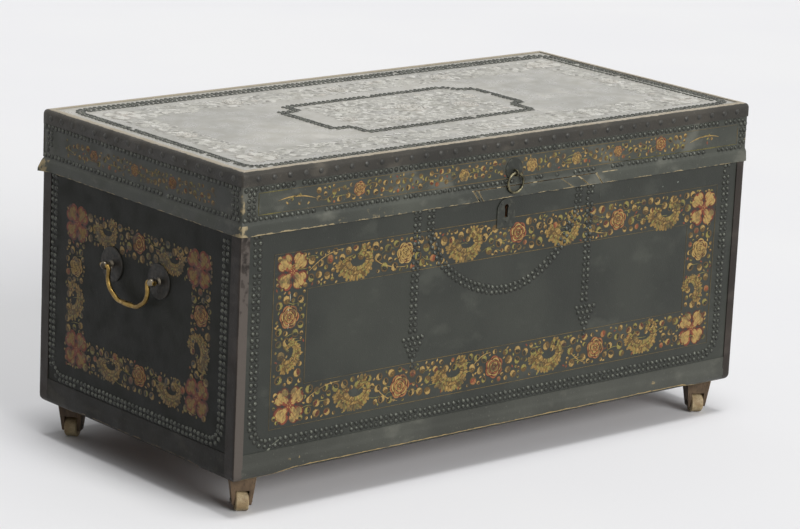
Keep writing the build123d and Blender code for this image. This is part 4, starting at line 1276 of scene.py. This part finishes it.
@dataclass
class Chest(Case):
    """The body of the trunk: its four hides, straps, base strips, tacks and painted borders."""

    half_x: float = 465.5
    half_y: float = 225.0
    top: float = 401.0
    body: str = "chest"
    floor: float = 52.0
    rounding: float = 9.0
    base_top: float = 88.0
    keyhole: tuple[Point, Point] = ((-6.6, 354.5), (0.6, 377.5))
    front_strap: float = 15.0
    end_strap: float = 20.0
    row_top: float = 384.0
    hide_step: float = 11.0
    flat_edge: float = 40.0
    flat_foot: float = 62.0
    flat_rim: float = 30.0
    dent_depth: float = 0.22
    dent_span: float = 60.0

    def hides(self) -> None:
        """Lay the four hides, each a little wavy and turned under at its foot."""
        long_sides = FINISHES["painted_leather"].material()
        # The two ends take the darker copy of the hide: painted shade.
        ends = SHADED_END_HIDE.material()
        outline = Girdle(self.half_x, self.half_y, 0.6)
        bend = self.floor + self.rounding
        profile = [(11.0, self.floor)] + rounded(self.rounding, bend)
        (left, low), (right, high) = self.keyhole
        for index, side in enumerate(ROUND):
            name = side.name.lower()
            piece = Sculpt(f"{name}_hide")
            reach = outline.reach(index)
            step = self.hide_step
            marks = stepped(-reach, reach, step)
            heights = stepped(bend, self.top, step)[1:]
            if side is Side.FRONT:
                marks = stepped(-reach, left, step) + stepped(right, reach, step)
                heights = stepped(bend, low, step)[1:] + stepped(high, self.top, step)
            levels = profile + [(0.0, height) for height in heights]

            def place(stop: float, row: float) -> Vector:
                """Give a point of the hide, swollen a little between its edges."""
                inset, height = levels[round(row)]
                _, mark = outline.mark(stop)
                beside = (outline.reach(index) - abs(mark)) / self.flat_edge
                above = max(0.0, height - self.flat_foot) / self.flat_edge
                inner = max(0.0, min(1.0, beside, above, (self.top - height) / self.flat_rim))
                dent = self.dent_depth * inner * (1 + ripple(mark, height, self.dent_span, index)) * 0.5
                return outline.point(stop, inset + dent, height)

            piece.lay(outline.along(index, marks), range(len(levels)), place)
            if side is Side.FRONT:
                piece.cut(lambda spot: left < spot.x < right and low < spot.z < high)
            piece.thicken(self.hide - 0.25)
            material = long_sides if index % 2 else ends
            piece.finish(self.body, "painted_leather", material, [f"{name}_leather"])

    def straps(self) -> None:
        """Fold the four corner straps round the edges, from the rim to under the foot."""
        outline = self.strapped()
        centre = self.floor + self.rounding
        radius = self.rounding + self.strap
        levels = [(13.0, centre - radius)] + rounded(radius, centre, 6)
        levels += [(0.0, height) for height in stepped(centre, self.top, 9)[1:]]
        piece = Sculpt("corner_straps")
        for side in range(4):
            here = self.front_strap if side % 2 else self.end_strap
            there = self.end_strap if side % 2 else self.front_strap
            reach = outline.reach(side)
            beyond = outline.reach(side + 1)
            stops = outline.along(side, stepped(reach + self.strap_corner - here, reach, 3.2))
            stops += outline.turn(side)
            last = there - beyond - self.strap_corner
            stops += outline.along(side + 1, stepped(-beyond, last, 3.2))

            def place(stop: float, row: float) -> Vector:
                """Give a point of the strap, rippled along its length."""
                inset, height = levels[round(row)]
                bulge = 0.18 * ripple(stop * 300, height, 26, side)
                return outline.point(stop, inset - max(0.0, bulge), height)

            def wear(stop: float, row: float) -> float:
                """Wear the strap along the corner itself, and make the front face of the front-left strap
                paler, most at its foot.
                """
                _, height = levels[round(row)]
                ridge = max(0.0, 1 - abs(stop % 2 - 1.5) * 1.2) if stop % 2 > 1 else 0.0
                # The front face of the front-left strap is made paler, most at its foot.
                rubbed = 0.0
                if side == 0 and stop % 8 > 1.5:
                    rubbed = between(((52, 1.0), (230, 0.76), (390, 0.46)), height)
                rubbed += 0.1 * ripple(height, 0, 34, side)
                return rubbed + 0.2 * ridge * (1 + ripple(height, 0, 30, side)) + (0.4 if height < 53 else 0)

            piece.lay(stops, range(len(levels)), place, wear)
        piece.thicken(self.strap)
        piece.finish(self.body, "binding_leather", STRAP_HIDE.material(), ["corner_bindings"])

    def base_strips(self) -> None:
        """Lay the strips round the foot, cut raggedly below and stepped at their middle."""
        outline = self.strapped()
        radius = self.rounding + self.strap
        centre = self.floor + self.rounding
        rows = (0.0, 0.06, 0.14, 0.25, 0.38, 0.5, 0.54, 0.72, 0.88, 0.97, 1.0)

        def lowest(side: int, mark: float) -> float:
            """Give the height of the ragged lower edge."""
            away = outline.reach(side) - abs(mark)
            tucked = 51.2 + 6.4 * min(1.0, max(0.0, (away - 60) / 45))
            return tucked + 0.7 * ripple(mark, 0, 24, side) + 0.35 * ripple(mark, 0, 7, side)

        for side in range(4):
            piece = Sculpt(f"{ROUND[side].name.lower()}_base_strip")
            hidden = (self.front_strap if side % 2 else self.end_strap) - 1.5
            reach = outline.reach(side) + self.strap_corner - hidden
            stops = outline.along(side, stepped(-reach, reach, 6.5))

            def place(stop: float, row: float) -> Vector:
                """Give a point of the strip, which follows the rounded foot."""
                _, mark = outline.mark(stop)
                low = max(51.0, lowest(side, mark))
                height = low + row * (self.base_top - low)
                drop = max(0.0, centre - height)
                inset = radius - math.sqrt(radius**2 - drop**2)
                step = 0.45 if row < 0.52 else 0.1
                step += 0.3 * max(0.0, ripple(mark, height, 20, side))
                return outline.point(stop, inset - step + 0.4, height)

            def wear(stop: float, row: float) -> float:
                """Wear the raw lower edge and the step."""
                _, mark = outline.mark(stop)
                if row < 0.03:
                    return (0.84 if side % 2 else 0.6) + 0.3 * ripple(mark, 0, 14, side)
                if row < 0.1:
                    return 0.3 + 0.3 * ripple(mark, 0, 18, side)
                scuffed = side % 2 and ripple(mark, 7, 55, side) > 0.34
                return 0.44 if scuffed and 0.36 < row < 0.52 else 0.0

            piece.lay(stops, rows, place, wear)
            piece.thicken(self.strap - 0.1)
            # Strips on the ends take the darker copy of the base hide: painted shade.
            finish = BASE_HIDE if side % 2 else SHADED_END_BASE_HIDE
            piece.finish(self.body, "painted_leather", finish.material(), ["base_bindings"])

    def tacks(self) -> None:
        """Drive the rows of tacks that frame the four sides."""
        bench = Tacks()
        for side, near, far, low, radius in (
            (Side.FRONT, -438, 431.5, 98, 27), (Side.LEFT, -198.5, 193.5, 97, 25),
            (Side.RIGHT, -193.5, 198.5, 97, 25), (Side.BACK, -434, 434, 97, 25),
        ):
            face = self.panel(side)
            bench.begin(f"{side.name.lower()}_tacks")
            rising = [(near, self.row_top, 0), (near, low, radius)]
            bench.double(face, rising + [(far, low, radius), (far, self.row_top, 0)])
            if side is Side.FRONT:
                self.drapery(bench, face)
            bench.end(self.body)

    def drapery(self, bench: Tacks, front: Panel) -> None:
        """Drive the front's two straps with their tassels, and the swag that hangs between them.

        Args:
            bench: The set of tacks that is being driven.
            front: Face that they are driven into.
        """
        for strap, tassel in ((-164.3, -163.0), (157.0, 160.0)):
            bench.double(front, [(strap, self.row_top, 0), (strap, 214, 0)])
            bench.tassel(front, tassel, 207)
        swag = (
            (-140, self.row_top), (-140, 350), (-120, 310), (-100, 292), (-75, 275), (-50, 264), (-25, 257),
            (0, 254), (25, 256), (50, 264), (75, 278), (100, 298), (133, 350), (135, self.row_top),
        )
        bench.double(front, [(*spot, 0) for spot in swag])

    def paint(self) -> None:
        """Paint the floral borders on the front and on both ends."""
        finish = Paint("border_paint", (50, 50, 42), 0.62)
        painter = Painter("front_painting", Palette.SIDES, 5)
        panel = self.panel(Side.FRONT)
        upright = (
            (-270, 323), (-75, 323), (110, 323), (310, 320), (-265, 140), (-90, 140), (90, 140), (278, 140),
        )
        painter.compose(
            panel,
            ((-378, 330), (-376, 145), (388, 324), (380, 143)),
            [(*spot, 0, 1.0) for spot in upright] + [(-376, 212, 60, 0.74), (380, 205, 120, 0.74)],
            (
                (-183, 330, 16, Rose.OCHRE), (22, 333, 16, Rose.RED), (215, 328, 16, Rose.PINK),
                (-183, 142, 18, Rose.PINK), (-10, 143, 17, Rose.RED), (185, 142, 17, Rose.PINK),
                (-381, 268, 17, Rose.PINK), (386, 262, 17, Rose.OCHRE),
            ),
        )
        painter.paint_frame(panel, (-409, 116), (414, 356))
        painter.paint_frame(panel, (-352, 172), (357, 303))
        for line in (
            ((-350, 327), (-322, 350), (-292, 350)), ((-238, 330), (-222, 312), (-178, 311)),
            ((-40, 327), (-20, 350), (-4, 350)), ((146, 330), (165, 312), (196, 311)),
            ((-346, 150), (-316, 168), (-290, 166)), ((-228, 150), (-210, 126), (-186, 122)),
            ((-50, 150), (-34, 166), (-18, 165)), ((130, 150), (148, 126), (172, 122)),
        ):
            painter.paint_stroke(panel, line, 1.3, painter.ochre)
        sizes = (6.8, 5.6, 4.4, 3.4, 2.6, 1.8)
        painter.fill(panel, (-406, 304), (412, 354), sizes)
        painter.fill(panel, (-406, 119), (412, 170), sizes)
        painter.fill(panel, (-406, 171), (-354, 304), sizes)
        painter.fill(panel, (360, 171), (412, 304), sizes)
        self.scratches(painter, panel)
        painter.end(self.body, "painted_leather", finish)
        for side, flip in ((Side.LEFT, 1), (Side.RIGHT, -1)):
            self.paint_end(side, flip, finish)

    def scratches(self, painter: Painter, panel: Panel) -> None:
        """Scratch the front where its hide is chipped and its varnish is rubbed.

        Args:
            painter: Who paints it.
            panel: Face of the front.
        """
        for start, finish, width, colour in (
            ((-383, 252), (-381, 262), 1.2, painter.cream), ((-384, 272), (-382, 284), 1.4, painter.cream),
            ((-380, 290), (-381, 300), 1.0, painter.cream), ((-424, 70), (-422, 81), 1.6, painter.cream),
            ((-446, 70), (-442, 77), 5.0, painter.pink), ((-414, 82), (-404, 94), 4.0, (118, 120, 108)),
            ((-404, 94), (-386, 103), 2.0, (110, 112, 100)),
            ((-400, 66.5), (-386, 66.0), 1.0, painter.ochre),
            ((-250, 67), (-222, 66.5), 1.0, painter.umber), ((150, 66.5), (240, 67.2), 0.9, painter.umber),
            ((176, 376), (177, 362), 0.8, (92, 94, 86)), ((236, 372), (236, 364), 0.8, (96, 98, 90)),
            ((300, 366), (303, 366), 2.4, (120, 124, 116)), ((330, 369), (333, 370), 2.6, (128, 132, 124)),
        ):
            painter.paint_stroke(panel, (start, finish), width, colour)

    def paint_end(self, side: Side, flip: int, finish: Paint) -> None:
        """Paint the border of one end, the right one turned about.

        Args:
            side: The end that is painted.
            flip: 1 for the left end and -1 for the right one.
            finish: Finish of the paint.
        """
        painter = Painter(f"{side.name.lower()}_painting", Palette.SIDES, 21 + flip, ruddy=True)
        panel = self.panel(side)
        scrolls = (
            (-75, 325, 0), (78, 320, 0), (-60, 138, 0), (80, 138, 0), (-143, 214, 70), (145, 212, 110),
        )
        painter.compose(
            panel,
            ((-143, 327), (137, 325), (-140, 147), (140, 148)),
            [(*scroll, 0.86) for scroll in scrolls],
            (
                (2, 330, 15, Rose.RED), (10, 146, 16, Rose.PINK), (-143, 265, 15, Rose.OCHRE),
                (144, 262, 16, Rose.PINK),
            ),
            flip,
        )
        sizes = (6.4, 5.2, 4.2, 3.2, 2.5, 1.8)
        painter.fill(panel, (-169, 303), (167, 349), sizes)
        painter.fill(panel, (-169, 118), (167, 165), sizes)
        painter.fill(panel, (-169, 166), (-121, 302), sizes)
        painter.fill(panel, (120, 166), (167, 302), sizes)
        painter.end(self.body, "painted_leather", finish)


# ------------------------------------------------------------------ the lid


@dataclass
class Lid(Case):
    """The lid: its side hides with their torn hanging flap, top hide, edge binding and paint."""

    half_x: float = 467.0
    half_y: float = 226.5
    top: float = 472.2
    body: str = "lid"
    strap_corner: float = 3.2
    corner: float = 3.0
    side_top: float = 465.2
    bend: float = 406.0
    low_bend: float = 401.0
    hem: float = 387.0
    low_bend_out: float = 2.2
    hem_out: float = 3.2
    binding_drop: float = 20.0
    binding_rim: float = 12.0
    tear: float = 402.6
    curl_length: float = 26.0
    row_reach: float = 462.0
    lost_tacks: tuple[Point, ...] = (
        (-343, -326), (-200, -189), (8, 25), (33, 50), (60, 89), (97, 124), (166, 197), (218, 229),
        (289, 299), (384, 410),
    )

    def flare(self, height: float) -> float:
        """Give how far the hide stands out of the lid's face at a height.

        Args:
            height: Height above the floor.

        Returns:
            The distance, which is 0 above the bend.
        """
        if height >= self.bend:
            return 0.0
        if height >= self.low_bend:
            return self.low_bend_out * (self.bend - height) / (self.bend - self.low_bend)
        part = (self.low_bend - height) / (self.low_bend - self.hem)
        return self.low_bend_out + (self.hem_out - self.low_bend_out) * part

    def skirt(self) -> None:
        """Lay the hide of the front and both ends in one piece, with its flap, tear and splits."""
        outline = Girdle(self.half_x, self.half_y, self.corner)
        fine = (-100.0, 206.0)
        reach = outline.reach(1)
        marks = stepped(-reach, fine[0], 7)[:-1] + stepped(*fine, 1.2) + stepped(fine[1], reach, 7)[1:]
        stops = outline.run(0, 7) + outline.turn(0) + outline.along(1, marks)
        stops += outline.turn(1) + outline.run(2, 7)
        rows = [self.hem, 387.9, 389.4, 391.5, 394, 397.5, 400.6, 401.7, 402.1, 403.1, 403.5, 404.6]
        rows += [self.bend, 409, 416, 430, 444, 453, self.side_top]
        splits = ((-68, 11, 1.0), (-60, 9, 0.6), (95, 25, 0.9), (128, 22, 1.0), (163, 12, 0.8))
        slants = [(-100, 0)] + [(split, slant) for split, slant, _ in splits] + [(205, 0)]
        slants.insert(3, (40, 0))
        piece = Sculpt("lid_skirt")

        def place(stop: float, height: float) -> Vector:
            """Give a point of the hide, with the flap's waves, lifts and curled end."""
            side, mark = outline.mark(stop)
            loose = min(1.0, max(0.0, (self.bend - height) / 12))
            ring = side == 1 and -22 < mark < 36
            wave = 0.5 * loose * ripple(mark, height * 2, 34, side + 3) * (0.1 if ring else 1.0)
            ragged = 0.8 * ripple(mark, 0, 11, side) + 0.5 * ripple(mark, 0, 4, side + 9)
            lift = 0.0
            shift = 0.0
            if side == 1 and height < self.tear:
                drop = (self.tear - height) / (self.tear - self.hem)
                shift = between(slants, mark) * drop
                for split, _, raised in splits:
                    lift += raised * drop * max(0.0, 1 - abs(mark - split) / 9) ** 2
            curled = -mark - (outline.reach(0) - self.curl_length)
            if side == 0 and curled > 0 and height < self.bend:
                lift += 8.2 * (curled / self.curl_length) ** 1.6 * min(1.0, (self.bend - height) / 14)
            foot = height + (ragged if height < 390 else 0.0)
            spot = outline.point(stop, -self.flare(height) - wave - lift, foot)
            return spot + Vector((shift, 0, 0))

        def wear(stop: float, height: float) -> float:
            """Wear the hem, the tear, the corners and the curled end."""
            side, mark = outline.mark(stop)
            value = 0.0
            torn = side == 1 and mark < -310
            if height < 391:
                value = (0.7 if torn else 0.56) + 0.4 * ripple(mark, 0, 16, side)
                value *= max(0.0, 1 - (height - self.hem) / (4.4 if torn else 3.2))
            if side == 1 and -70 < mark < 212 and 401.9 < height < 403.4:
                value = max(value, 0.66 + 0.4 * ripple(mark, height, 12, 2) - 0.2 * (mark > 166))
            if side == 1 and height < self.tear and any(abs(mark - split[0]) < 1.4 for split in splits):
                value = max(value, 0.9)
            if side == 1 and -312 < mark < -176 and height < 401:
                value = max(value, 0.34 + 0.14 * ripple(mark, height, 26, 4))
            if side == 0 and mark < -(outline.reach(0) - 18) and height < 404:
                value = max(value, 0.5 + 0.4 * ripple(mark, height, 8, 7))
            corner = stop % 2 > 1 or abs(mark) > outline.reach(side) - 2
            if corner and 413 < height < 450:
                value = max(value, 0.5 + 0.25 * ripple(height, 0, 16, 5))
            beside = min(abs(stop - 1), abs(stop - 2)) * 2 * outline.reach(side) if stop < 3 else 99.0
            if height < 402:
                near = 0.0 if 1 < stop < 2 else beside
                value = max(value, 0.5 - near / 30 + 0.45 * ripple(stop * 90, height, 7, 6))
            return value

        piece.lay(stops, rows, place, wear)
        self.open_tears(piece, splits)
        piece.thicken(self.hide - 0.15)
        replaced = ["lid_front_leather", "lid_left_leather", "lid_right_leather"]
        piece.finish(self.body, "flap_leather", FINISHES["flap_leather"].material(), replaced)

    def open_tears(self, piece: Sculpt, splits: Sequence[Triple]) -> None:
        """Open the long tear above the flap, and the short splits that run down from it.

        Args:
            piece: The sheet of the skirt.
            splits: Place, slant and lift of each short split.
        """
        face_y = -self.half_y
        runs = ((-67, -24), (-17, 43), (50, 116), (124, 164))
        gone = []
        for face in piece.bm.faces:
            middle = face.calc_center_median()
            if middle.y > face_y + 1:
                continue
            if self.tear - 0.6 < middle.z < self.tear + 0.6:
                if any(low < middle.x < high for low, high in runs):
                    gone.append(face)
            elif middle.z < self.tear:
                drop = (self.tear - middle.z) / (self.tear - self.hem)
                width = 0.35 + 0.6 * drop
                if any(abs(middle.x - split - slant * drop) < width for split, slant, _ in splits):
                    gone.append(face)
        bmesh.ops.delete(piece.bm, geom=gone, context="FACES")

    def top_hide(self) -> None:
        """Stretch the top hide over the lid, softly dented."""
        face = self.panel(Side.TOP)
        piece = Sculpt("top_hide")

        def place(u: float, v: float) -> Vector:
            """Give a point of the hide."""
            dents = 0.1 * ripple(u, v, 70, 1) + 0.04 * ripple(u, v, 24, 2)
            return face.at(u, v, dents - 0.14)

        edge_x = self.half_x - 6
        edge_y = self.half_y - 6
        piece.lay(stepped(-edge_x, edge_x, 9), stepped(-edge_y, edge_y, 9), place)
        piece.thicken(self.hide - 0.5)
        piece.finish(self.body, "lid_leather", FINISHES["lid_leather"].material(), ["lid_top_leather"])

    def edge_binding(self) -> None:
        """Fold the binding over the lid's upper edge, all the way round."""
        outline = self.strapped()
        radius = 7.2
        high = self.top + self.strap
        low = high - self.binding_drop
        arc = [math.radians(90 * index / 6) for index in range(7)]
        levels = [(0.0, low), (0.0, low + 4), (0.0, low + 9)]
        levels += [(radius * (1 - math.cos(a)), high - radius * (1 - math.sin(a))) for a in arc]
        levels += [(9.6, high), (self.binding_rim, high)]
        piece = Sculpt("lid_edge_strap")

        def place(stop: float, row: float) -> Vector:
            """Give a point of the binding, its cut edges a little uneven."""
            inset, height = levels[round(row)]
            side, mark = outline.mark(stop)
            uneven = 0.5 * ripple(mark, 0, 30, side)
            if row == 0:
                height += uneven
            if row == len(levels) - 1:
                inset += uneven
            swell = 0.2 * max(0.0, ripple(mark, row * 6, 13, side + 5))
            return outline.point(stop, inset - (swell if 0 < row < 3 else 0), height)

        def wear(stop: float, row: float) -> float:
            """Make the binding paler over its upper arris and all over its top face."""
            side, mark = outline.mark(stop)
            paler_above = between(((5.0, 0.0), (6.6, 0.12), (8.0, 0.8), (9.0, 0.96), (11.0, 0.9)), row)
            return paler_above + (0.16 * ripple(mark, 0, 50, side) if row > 6 else 0.0)

        piece.lay(outline.ring(9), range(len(levels)), place, wear)
        piece.thicken(self.strap)
        finish = FINISHES["binding_leather"].material()
        piece.finish(self.body, "binding_leather", finish, ["lid_edge_binding"])

    def tacks(self) -> None:
        """Drive the rows of tacks on the lid's sides and on its top."""
        bench = Tacks()
        front = self.panel(Side.FRONT)
        bench.begin("lid_front_tacks")
        end = self.row_reach
        bench.single(front, (-end, 449), (end, 449))
        edges = [-end] + [edge for gap in self.lost_tacks for edge in gap] + [end]
        for start, finish in zip(edges[::2], edges[1::2]):
            bench.single(front, (start, 408.5), (finish, 408.5))
        for column in (-452.0, 457.0):
            bench.double(front, [(column, 443, 0), (column, 415, 0)])
        bench.end(self.body)
        bench.pitch = 8.45
        for side in (Side.LEFT, Side.RIGHT, Side.BACK):
            face = self.panel(side)
            reach = self.row_reach if side is Side.BACK else 221
            bench.begin(f"lid_{side.name.lower()}_tacks")
            for height in (450.5, 409.5):
                bench.single(face, (-reach, height), (reach, height))
            for column in (-reach + 10, reach - 10):
                bench.double(face, [(column, 443, 0), (column, 416, 0)])
            bench.end(self.body)
        bench = Tacks(radius=3.0, rise=1.4, pitch=8.2, row_gap=7.2)
        top = self.panel(Side.TOP)
        bench.begin("top_tacks")
        border = [(-437.5, -204, 22), (446, -204, 22), (446, 198, 22), (-437.5, 198, 22)]
        bench.double(top, border, True)
        bench.single(top, (-420, 185), (430, 185))
        bench.single(top, (432, 178), (432, -186))
        cartouche = (
            (-188, 50), (-158, 50), (-158, 78), (135, 80), (150, 55), (172, 52), (172, -52), (150, -60),
            (150, -102), (-158, -106), (-158, -68), (-188, -68),
        )
        bench.double(top, [(*spot, 0) for spot in cartouche], True)
        bench.end(self.body)

    def paint(self) -> None:
        """Paint the vine round the lid's sides, and the border and field of its top."""
        finish = Paint("vine_paint", (62, 62, 54), 0.62)
        painter = Painter("lid_front_painting", Palette.SIDES, 8)
        panel = self.panel(Side.FRONT)
        painter.paint_frame(panel, (-440, 413.5), (447, 443))
        for line in (
            ((-440, 413), (-440, 443)), ((-440, 443), (-386, 443)), ((-440, 413.5), (-400, 413.5)),
            ((214, 413.5), (330, 413.5)), ((322, 413.5), (447, 413.5)),
        ):
            painter.paint_stroke(panel, line, 1.3, painter.olive)
        roses = (
            (-270, 430, 10.5, Rose.PINK), (-85, 427, 9.5, Rose.OCHRE), (40, 428, 10.5, Rose.OCHRE),
            (125, 428, 9.5, Rose.OCHRE), (205, 429, 8.5, Rose.PINK), (290, 431, 11, Rose.RED),
        )
        painter.compose(panel, roses=roses)
        self.vine(painter, panel, -345, 345)
        for tip, base in ((-408, -345), (408, 350)):
            line = ((tip, 429), ((tip + base) / 2, 437), (base, 426))
            painter.paint_stroke(panel, line, 1.8, painter.ochre)
            painter.fill(panel, (min(tip, base) + 12, 419), (max(tip, base) - 6, 437), (2.6, 1.9), 9)
        painter.end(self.body, "flap_leather", finish)
        for side, flip in ((Side.LEFT, 1), (Side.RIGHT, -1)):
            ender = Painter(f"lid_{side.name.lower()}_painting", Palette.SIDES, 30 + flip)
            face = self.panel(side)
            roses = ((-105, 429, 9, Rose.RED), (-10, 429, 9, Rose.PINK), (75, 429, 9, Rose.RED))
            ender.compose(face, roses=roses, flip=flip)
            self.vine(ender, face, -172, 170)
            ender.end(self.body, "flap_leather", finish)
        self.paint_top()

    def vine(self, painter: Painter, panel: Panel, low: float, high: float) -> None:
        """Paint a waving stem with berries and buds between two places.

        Args:
            painter: Who paints it.
            panel: Face that is painted.
            low: Where it starts.
            high: Where it ends.
        """
        middle = 428.5
        painter.fill(panel, (low, 415), (high, 442), (4.6, 3.8, 3.0, 2.3, 1.7), 34)
        step = 28.0
        for index, u in enumerate(stepped(low, high - step, step)):
            swing = 7 if index % 2 else -7
            line = ((u, middle), (u + step / 2, middle + swing * 2), (u + step, middle))
            painter.paint_stroke(panel, line, 1.0)

    def paint_top(self) -> None:
        """Paint the top's border band and its field, in pale colours that are painted sheen."""
        painter = Painter("top_painting", Palette.TOP, 14)
        panel = self.panel(Side.TOP)
        painter.compose(panel, ((-393, 142), (-393, -158), (398, 142), (398, -158)))
        for u in (-300, -110, 90, 280):
            painter.compose(
                panel,
                scrolls=((u, 134, 0, 1.0), (u + 20, -160, 0, 1.0)),
                roses=((u + 96, 140, 16, Rose.PINK), (u - 72, -156, 16, Rose.OCHRE)),
            )
        for u in (-392, 396):
            sides = ((u, 60, 90, 0.74), (u, -70, 90, 0.74))
            painter.compose(panel, scrolls=sides, roses=((u, -4, 16, Rose.PINK),))
        roses = (
            (0, -10, 24, Rose.PINK), (-92, 18, 19, Rose.OCHRE), (88, -30, 19, Rose.RED),
            (-60, -58, 15, Rose.PINK), (62, 34, 15, Rose.OCHRE), (-130, -30, 13, Rose.RED),
            (130, 14, 13, Rose.PINK),
        )
        painter.compose(panel, roses=roses)
        painter.compose(panel, scrolls=((0, 44, 0, 0.8), (8, -78, 180, 0.8)))
        for low, high in (
            ((-418, 110), (424, 168)), ((-418, -186), (424, -128)), ((-418, -128), (-366, 110)),
            ((370, -128), (424, 110)), ((-146, -92), (138, 66)),
        ):
            painter.fill(panel, low, high, (7.4, 6.0, 4.6, 3.4, 2.4), 40)
        for low, high, count in (
            ((-150, -98), (142, 72), 14), ((-420, 108), (426, 170), 9), ((-420, -188), (426, -126), 9),
            ((-420, -126), (-364, 108), 9), ((368, -126), (426, 108), 9),
        ):
            painter.paint_leaves(panel, low, high, count)
        # The pale grey under the top's paint is painted sheen, like that of the top hide.
        painter.end(self.body, "lid_leather", Paint("top_paint", (142, 139, 128), 0.55, 0.6))


# ------------------------------------------------------------------ the CAD's own pieces


def dress_nodes(frame: dict) -> None:
    """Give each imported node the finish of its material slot, or one of its own.

    Args:
        frame: The loaded frame.
    """
    finished = {name: finish.material() for name, finish in {**FINISHES, **OWN_FINISHES}.items()}
    for subpart in frame["record"]["subparts"]:
        node = frame["nodes"][subpart["node"]]
        material = finished.get(subpart["node"], finished[subpart["material_slot"]])
        if not node.material_slots:
            node.data.materials.append(material)
        for place in node.material_slots:
            place.material = material
        LOG.info("%s: %s", subpart["node"], material.name)


# ------------------------------------------------------------------ floor, lights and camera


@dataclass
class Studio:
    """A pale seamless floor, soft lamps and the camera, all in metres."""

    floor_reach: float = 30.0
    shaded_side: float = 0.1
    room_light: float = 0.42
    low_light: float = 0.22
    high_light: float = 1.1
    floor_pale: Shade = (236, 236, 237)
    floor_shade: Shade = (130, 130, 132)
    lens: float = 151.5
    eye: Triple = (-3.077, -3.562, 1.444)
    right: Triple = (0.7632, -0.6447, 0.0446)
    up: Triple = (0.1272, 0.2175, 0.9678)
    forward: Triple = (0.6336, 0.7329, -0.2480)

    def floor(self) -> None:
        mesh = bpy.data.meshes.new("studio_floor")
        bm = bmesh.new()
        bmesh.ops.create_grid(bm, x_segments=1, y_segments=1, size=self.floor_reach)
        bm.to_mesh(mesh)
        bm.free()
        floor = bpy.data.objects.new("studio_floor", mesh)
        bpy.context.scene.collection.objects.link(floor)
        graph = Graph(bpy.data.materials.new("studio_paper"))
        pale = graph.stain(self.floor_pale, (234, 234, 236), 1.5, 2, (0.3, 0.7))
        rays = graph.node("LightPath").outputs
        seen = graph.math("MAXIMUM", rays["Is Camera Ray"], rays["Is Glossy Ray"])
        colour = graph.mix(seen, self.floor_shade, pale)
        mesh.materials.append(graph.close(colour, 0.9, Specular_IOR_Level=0.1))
        floor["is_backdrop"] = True

    def world(self) -> None:
        """Light the room softly, and show it white to the camera and to glossy surfaces."""
        world = bpy.data.worlds.new("studio_room")
        bpy.context.scene.world = world
        graph = Graph(world)
        rays = graph.node("LightPath").outputs
        seen = graph.math("ADD", rays["Is Camera Ray"], rays["Is Glossy Ray"])
        seen = graph.math("ADD", seen, rays["Is Transmission Ray"], clamp=True)
        way = graph.node("SeparateXYZ", {"Vector": graph.places["Generated"]}).outputs
        across = (self.room_light * self.shaded_side, self.room_light)
        side = graph.span(way["X"], -0.8, 0.25, across, smooth=False)
        height = graph.span(way["Z"], 0.0, 0.7, (self.low_light, self.high_light), smooth=False)
        lit = graph.math("MULTIPLY", side, height)
        background = graph.nodes["Background"].inputs
        graph.feed(background["Color"], (1.0, 1.0, 1.0, 1.0))
        graph.feed(background["Strength"], graph.span(seen, 0.0, 1.0, (lit, 1.0), smooth=False))

    def lamp(self, name: str, towards: Triple, strength: float, spread: float) -> None:
        """Hang a broad far lamp.

        Args:
            name: Name of the lamp.
            towards: Direction from the trunk to the lamp.
            strength: Its light in watts on a square metre.
            spread: How broad it looks from the trunk, in degrees.
        """
        light = bpy.data.lights.new(name, "SUN")
        light.energy = strength
        light.angle = math.radians(spread)
        lamp = bpy.data.objects.new(name, light)
        lamp.rotation_euler = Vector(towards).to_track_quat("Z", "Y").to_euler()
        bpy.context.scene.collection.objects.link(lamp)

    def camera(self) -> None:
        """Set up the camera."""
        data = bpy.data.cameras.new("camera")
        data.lens = self.lens
        data.sensor_width = 36.0
        data.clip_end = 100.0
        camera = bpy.data.objects.new("camera", data)
        back = tuple(-value for value in self.forward)
        axes = Matrix([self.right, self.up, back]).transposed()
        camera.matrix_world = Matrix.Translation(self.eye) @ axes.to_4x4()
        bpy.context.scene.collection.objects.link(camera)
        bpy.context.scene.camera = camera

    def build(self) -> None:
        """Set up the whole studio."""
        self.floor()
        self.world()
        self.lamp("overhead_lamp", (-0.01, -0.1, 1.0), 1.5, 20)
        self.lamp("front_lamp", (0.03, -0.93, 0.37), 2.4, 36)
        self.camera()
        bpy.context.scene.view_settings.view_transform = "Standard"


def corners(bounds: tuple[Vector, Vector]) -> list[list[float]]:
    """Give a box as plain lists of numbers."""
    return [[float(value) for value in corner] for corner in bounds]


def main() -> None:
    """Load the frame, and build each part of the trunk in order."""
    logging.basicConfig(level=logging.INFO, format="%(message)s")
    for leftover in list(bpy.data.objects):
        bpy.data.objects.remove(leftover)
    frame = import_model()
    cad_box = corners(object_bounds())
    dress_nodes(frame)
    chest = Chest()
    chest.hides()
    chest.straps()
    chest.base_strips()
    chest.tacks()
    chest.paint()
    lid = Lid()
    lid.skirt()
    lid.top_hide()
    lid.edge_binding()
    lid.tacks()
    lid.paint()
    Studio().build()
    bpy.context.view_layer.update()
    {"cad": cad_box, "visual": corners(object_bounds())}


if __name__ == "__main__":
    main()
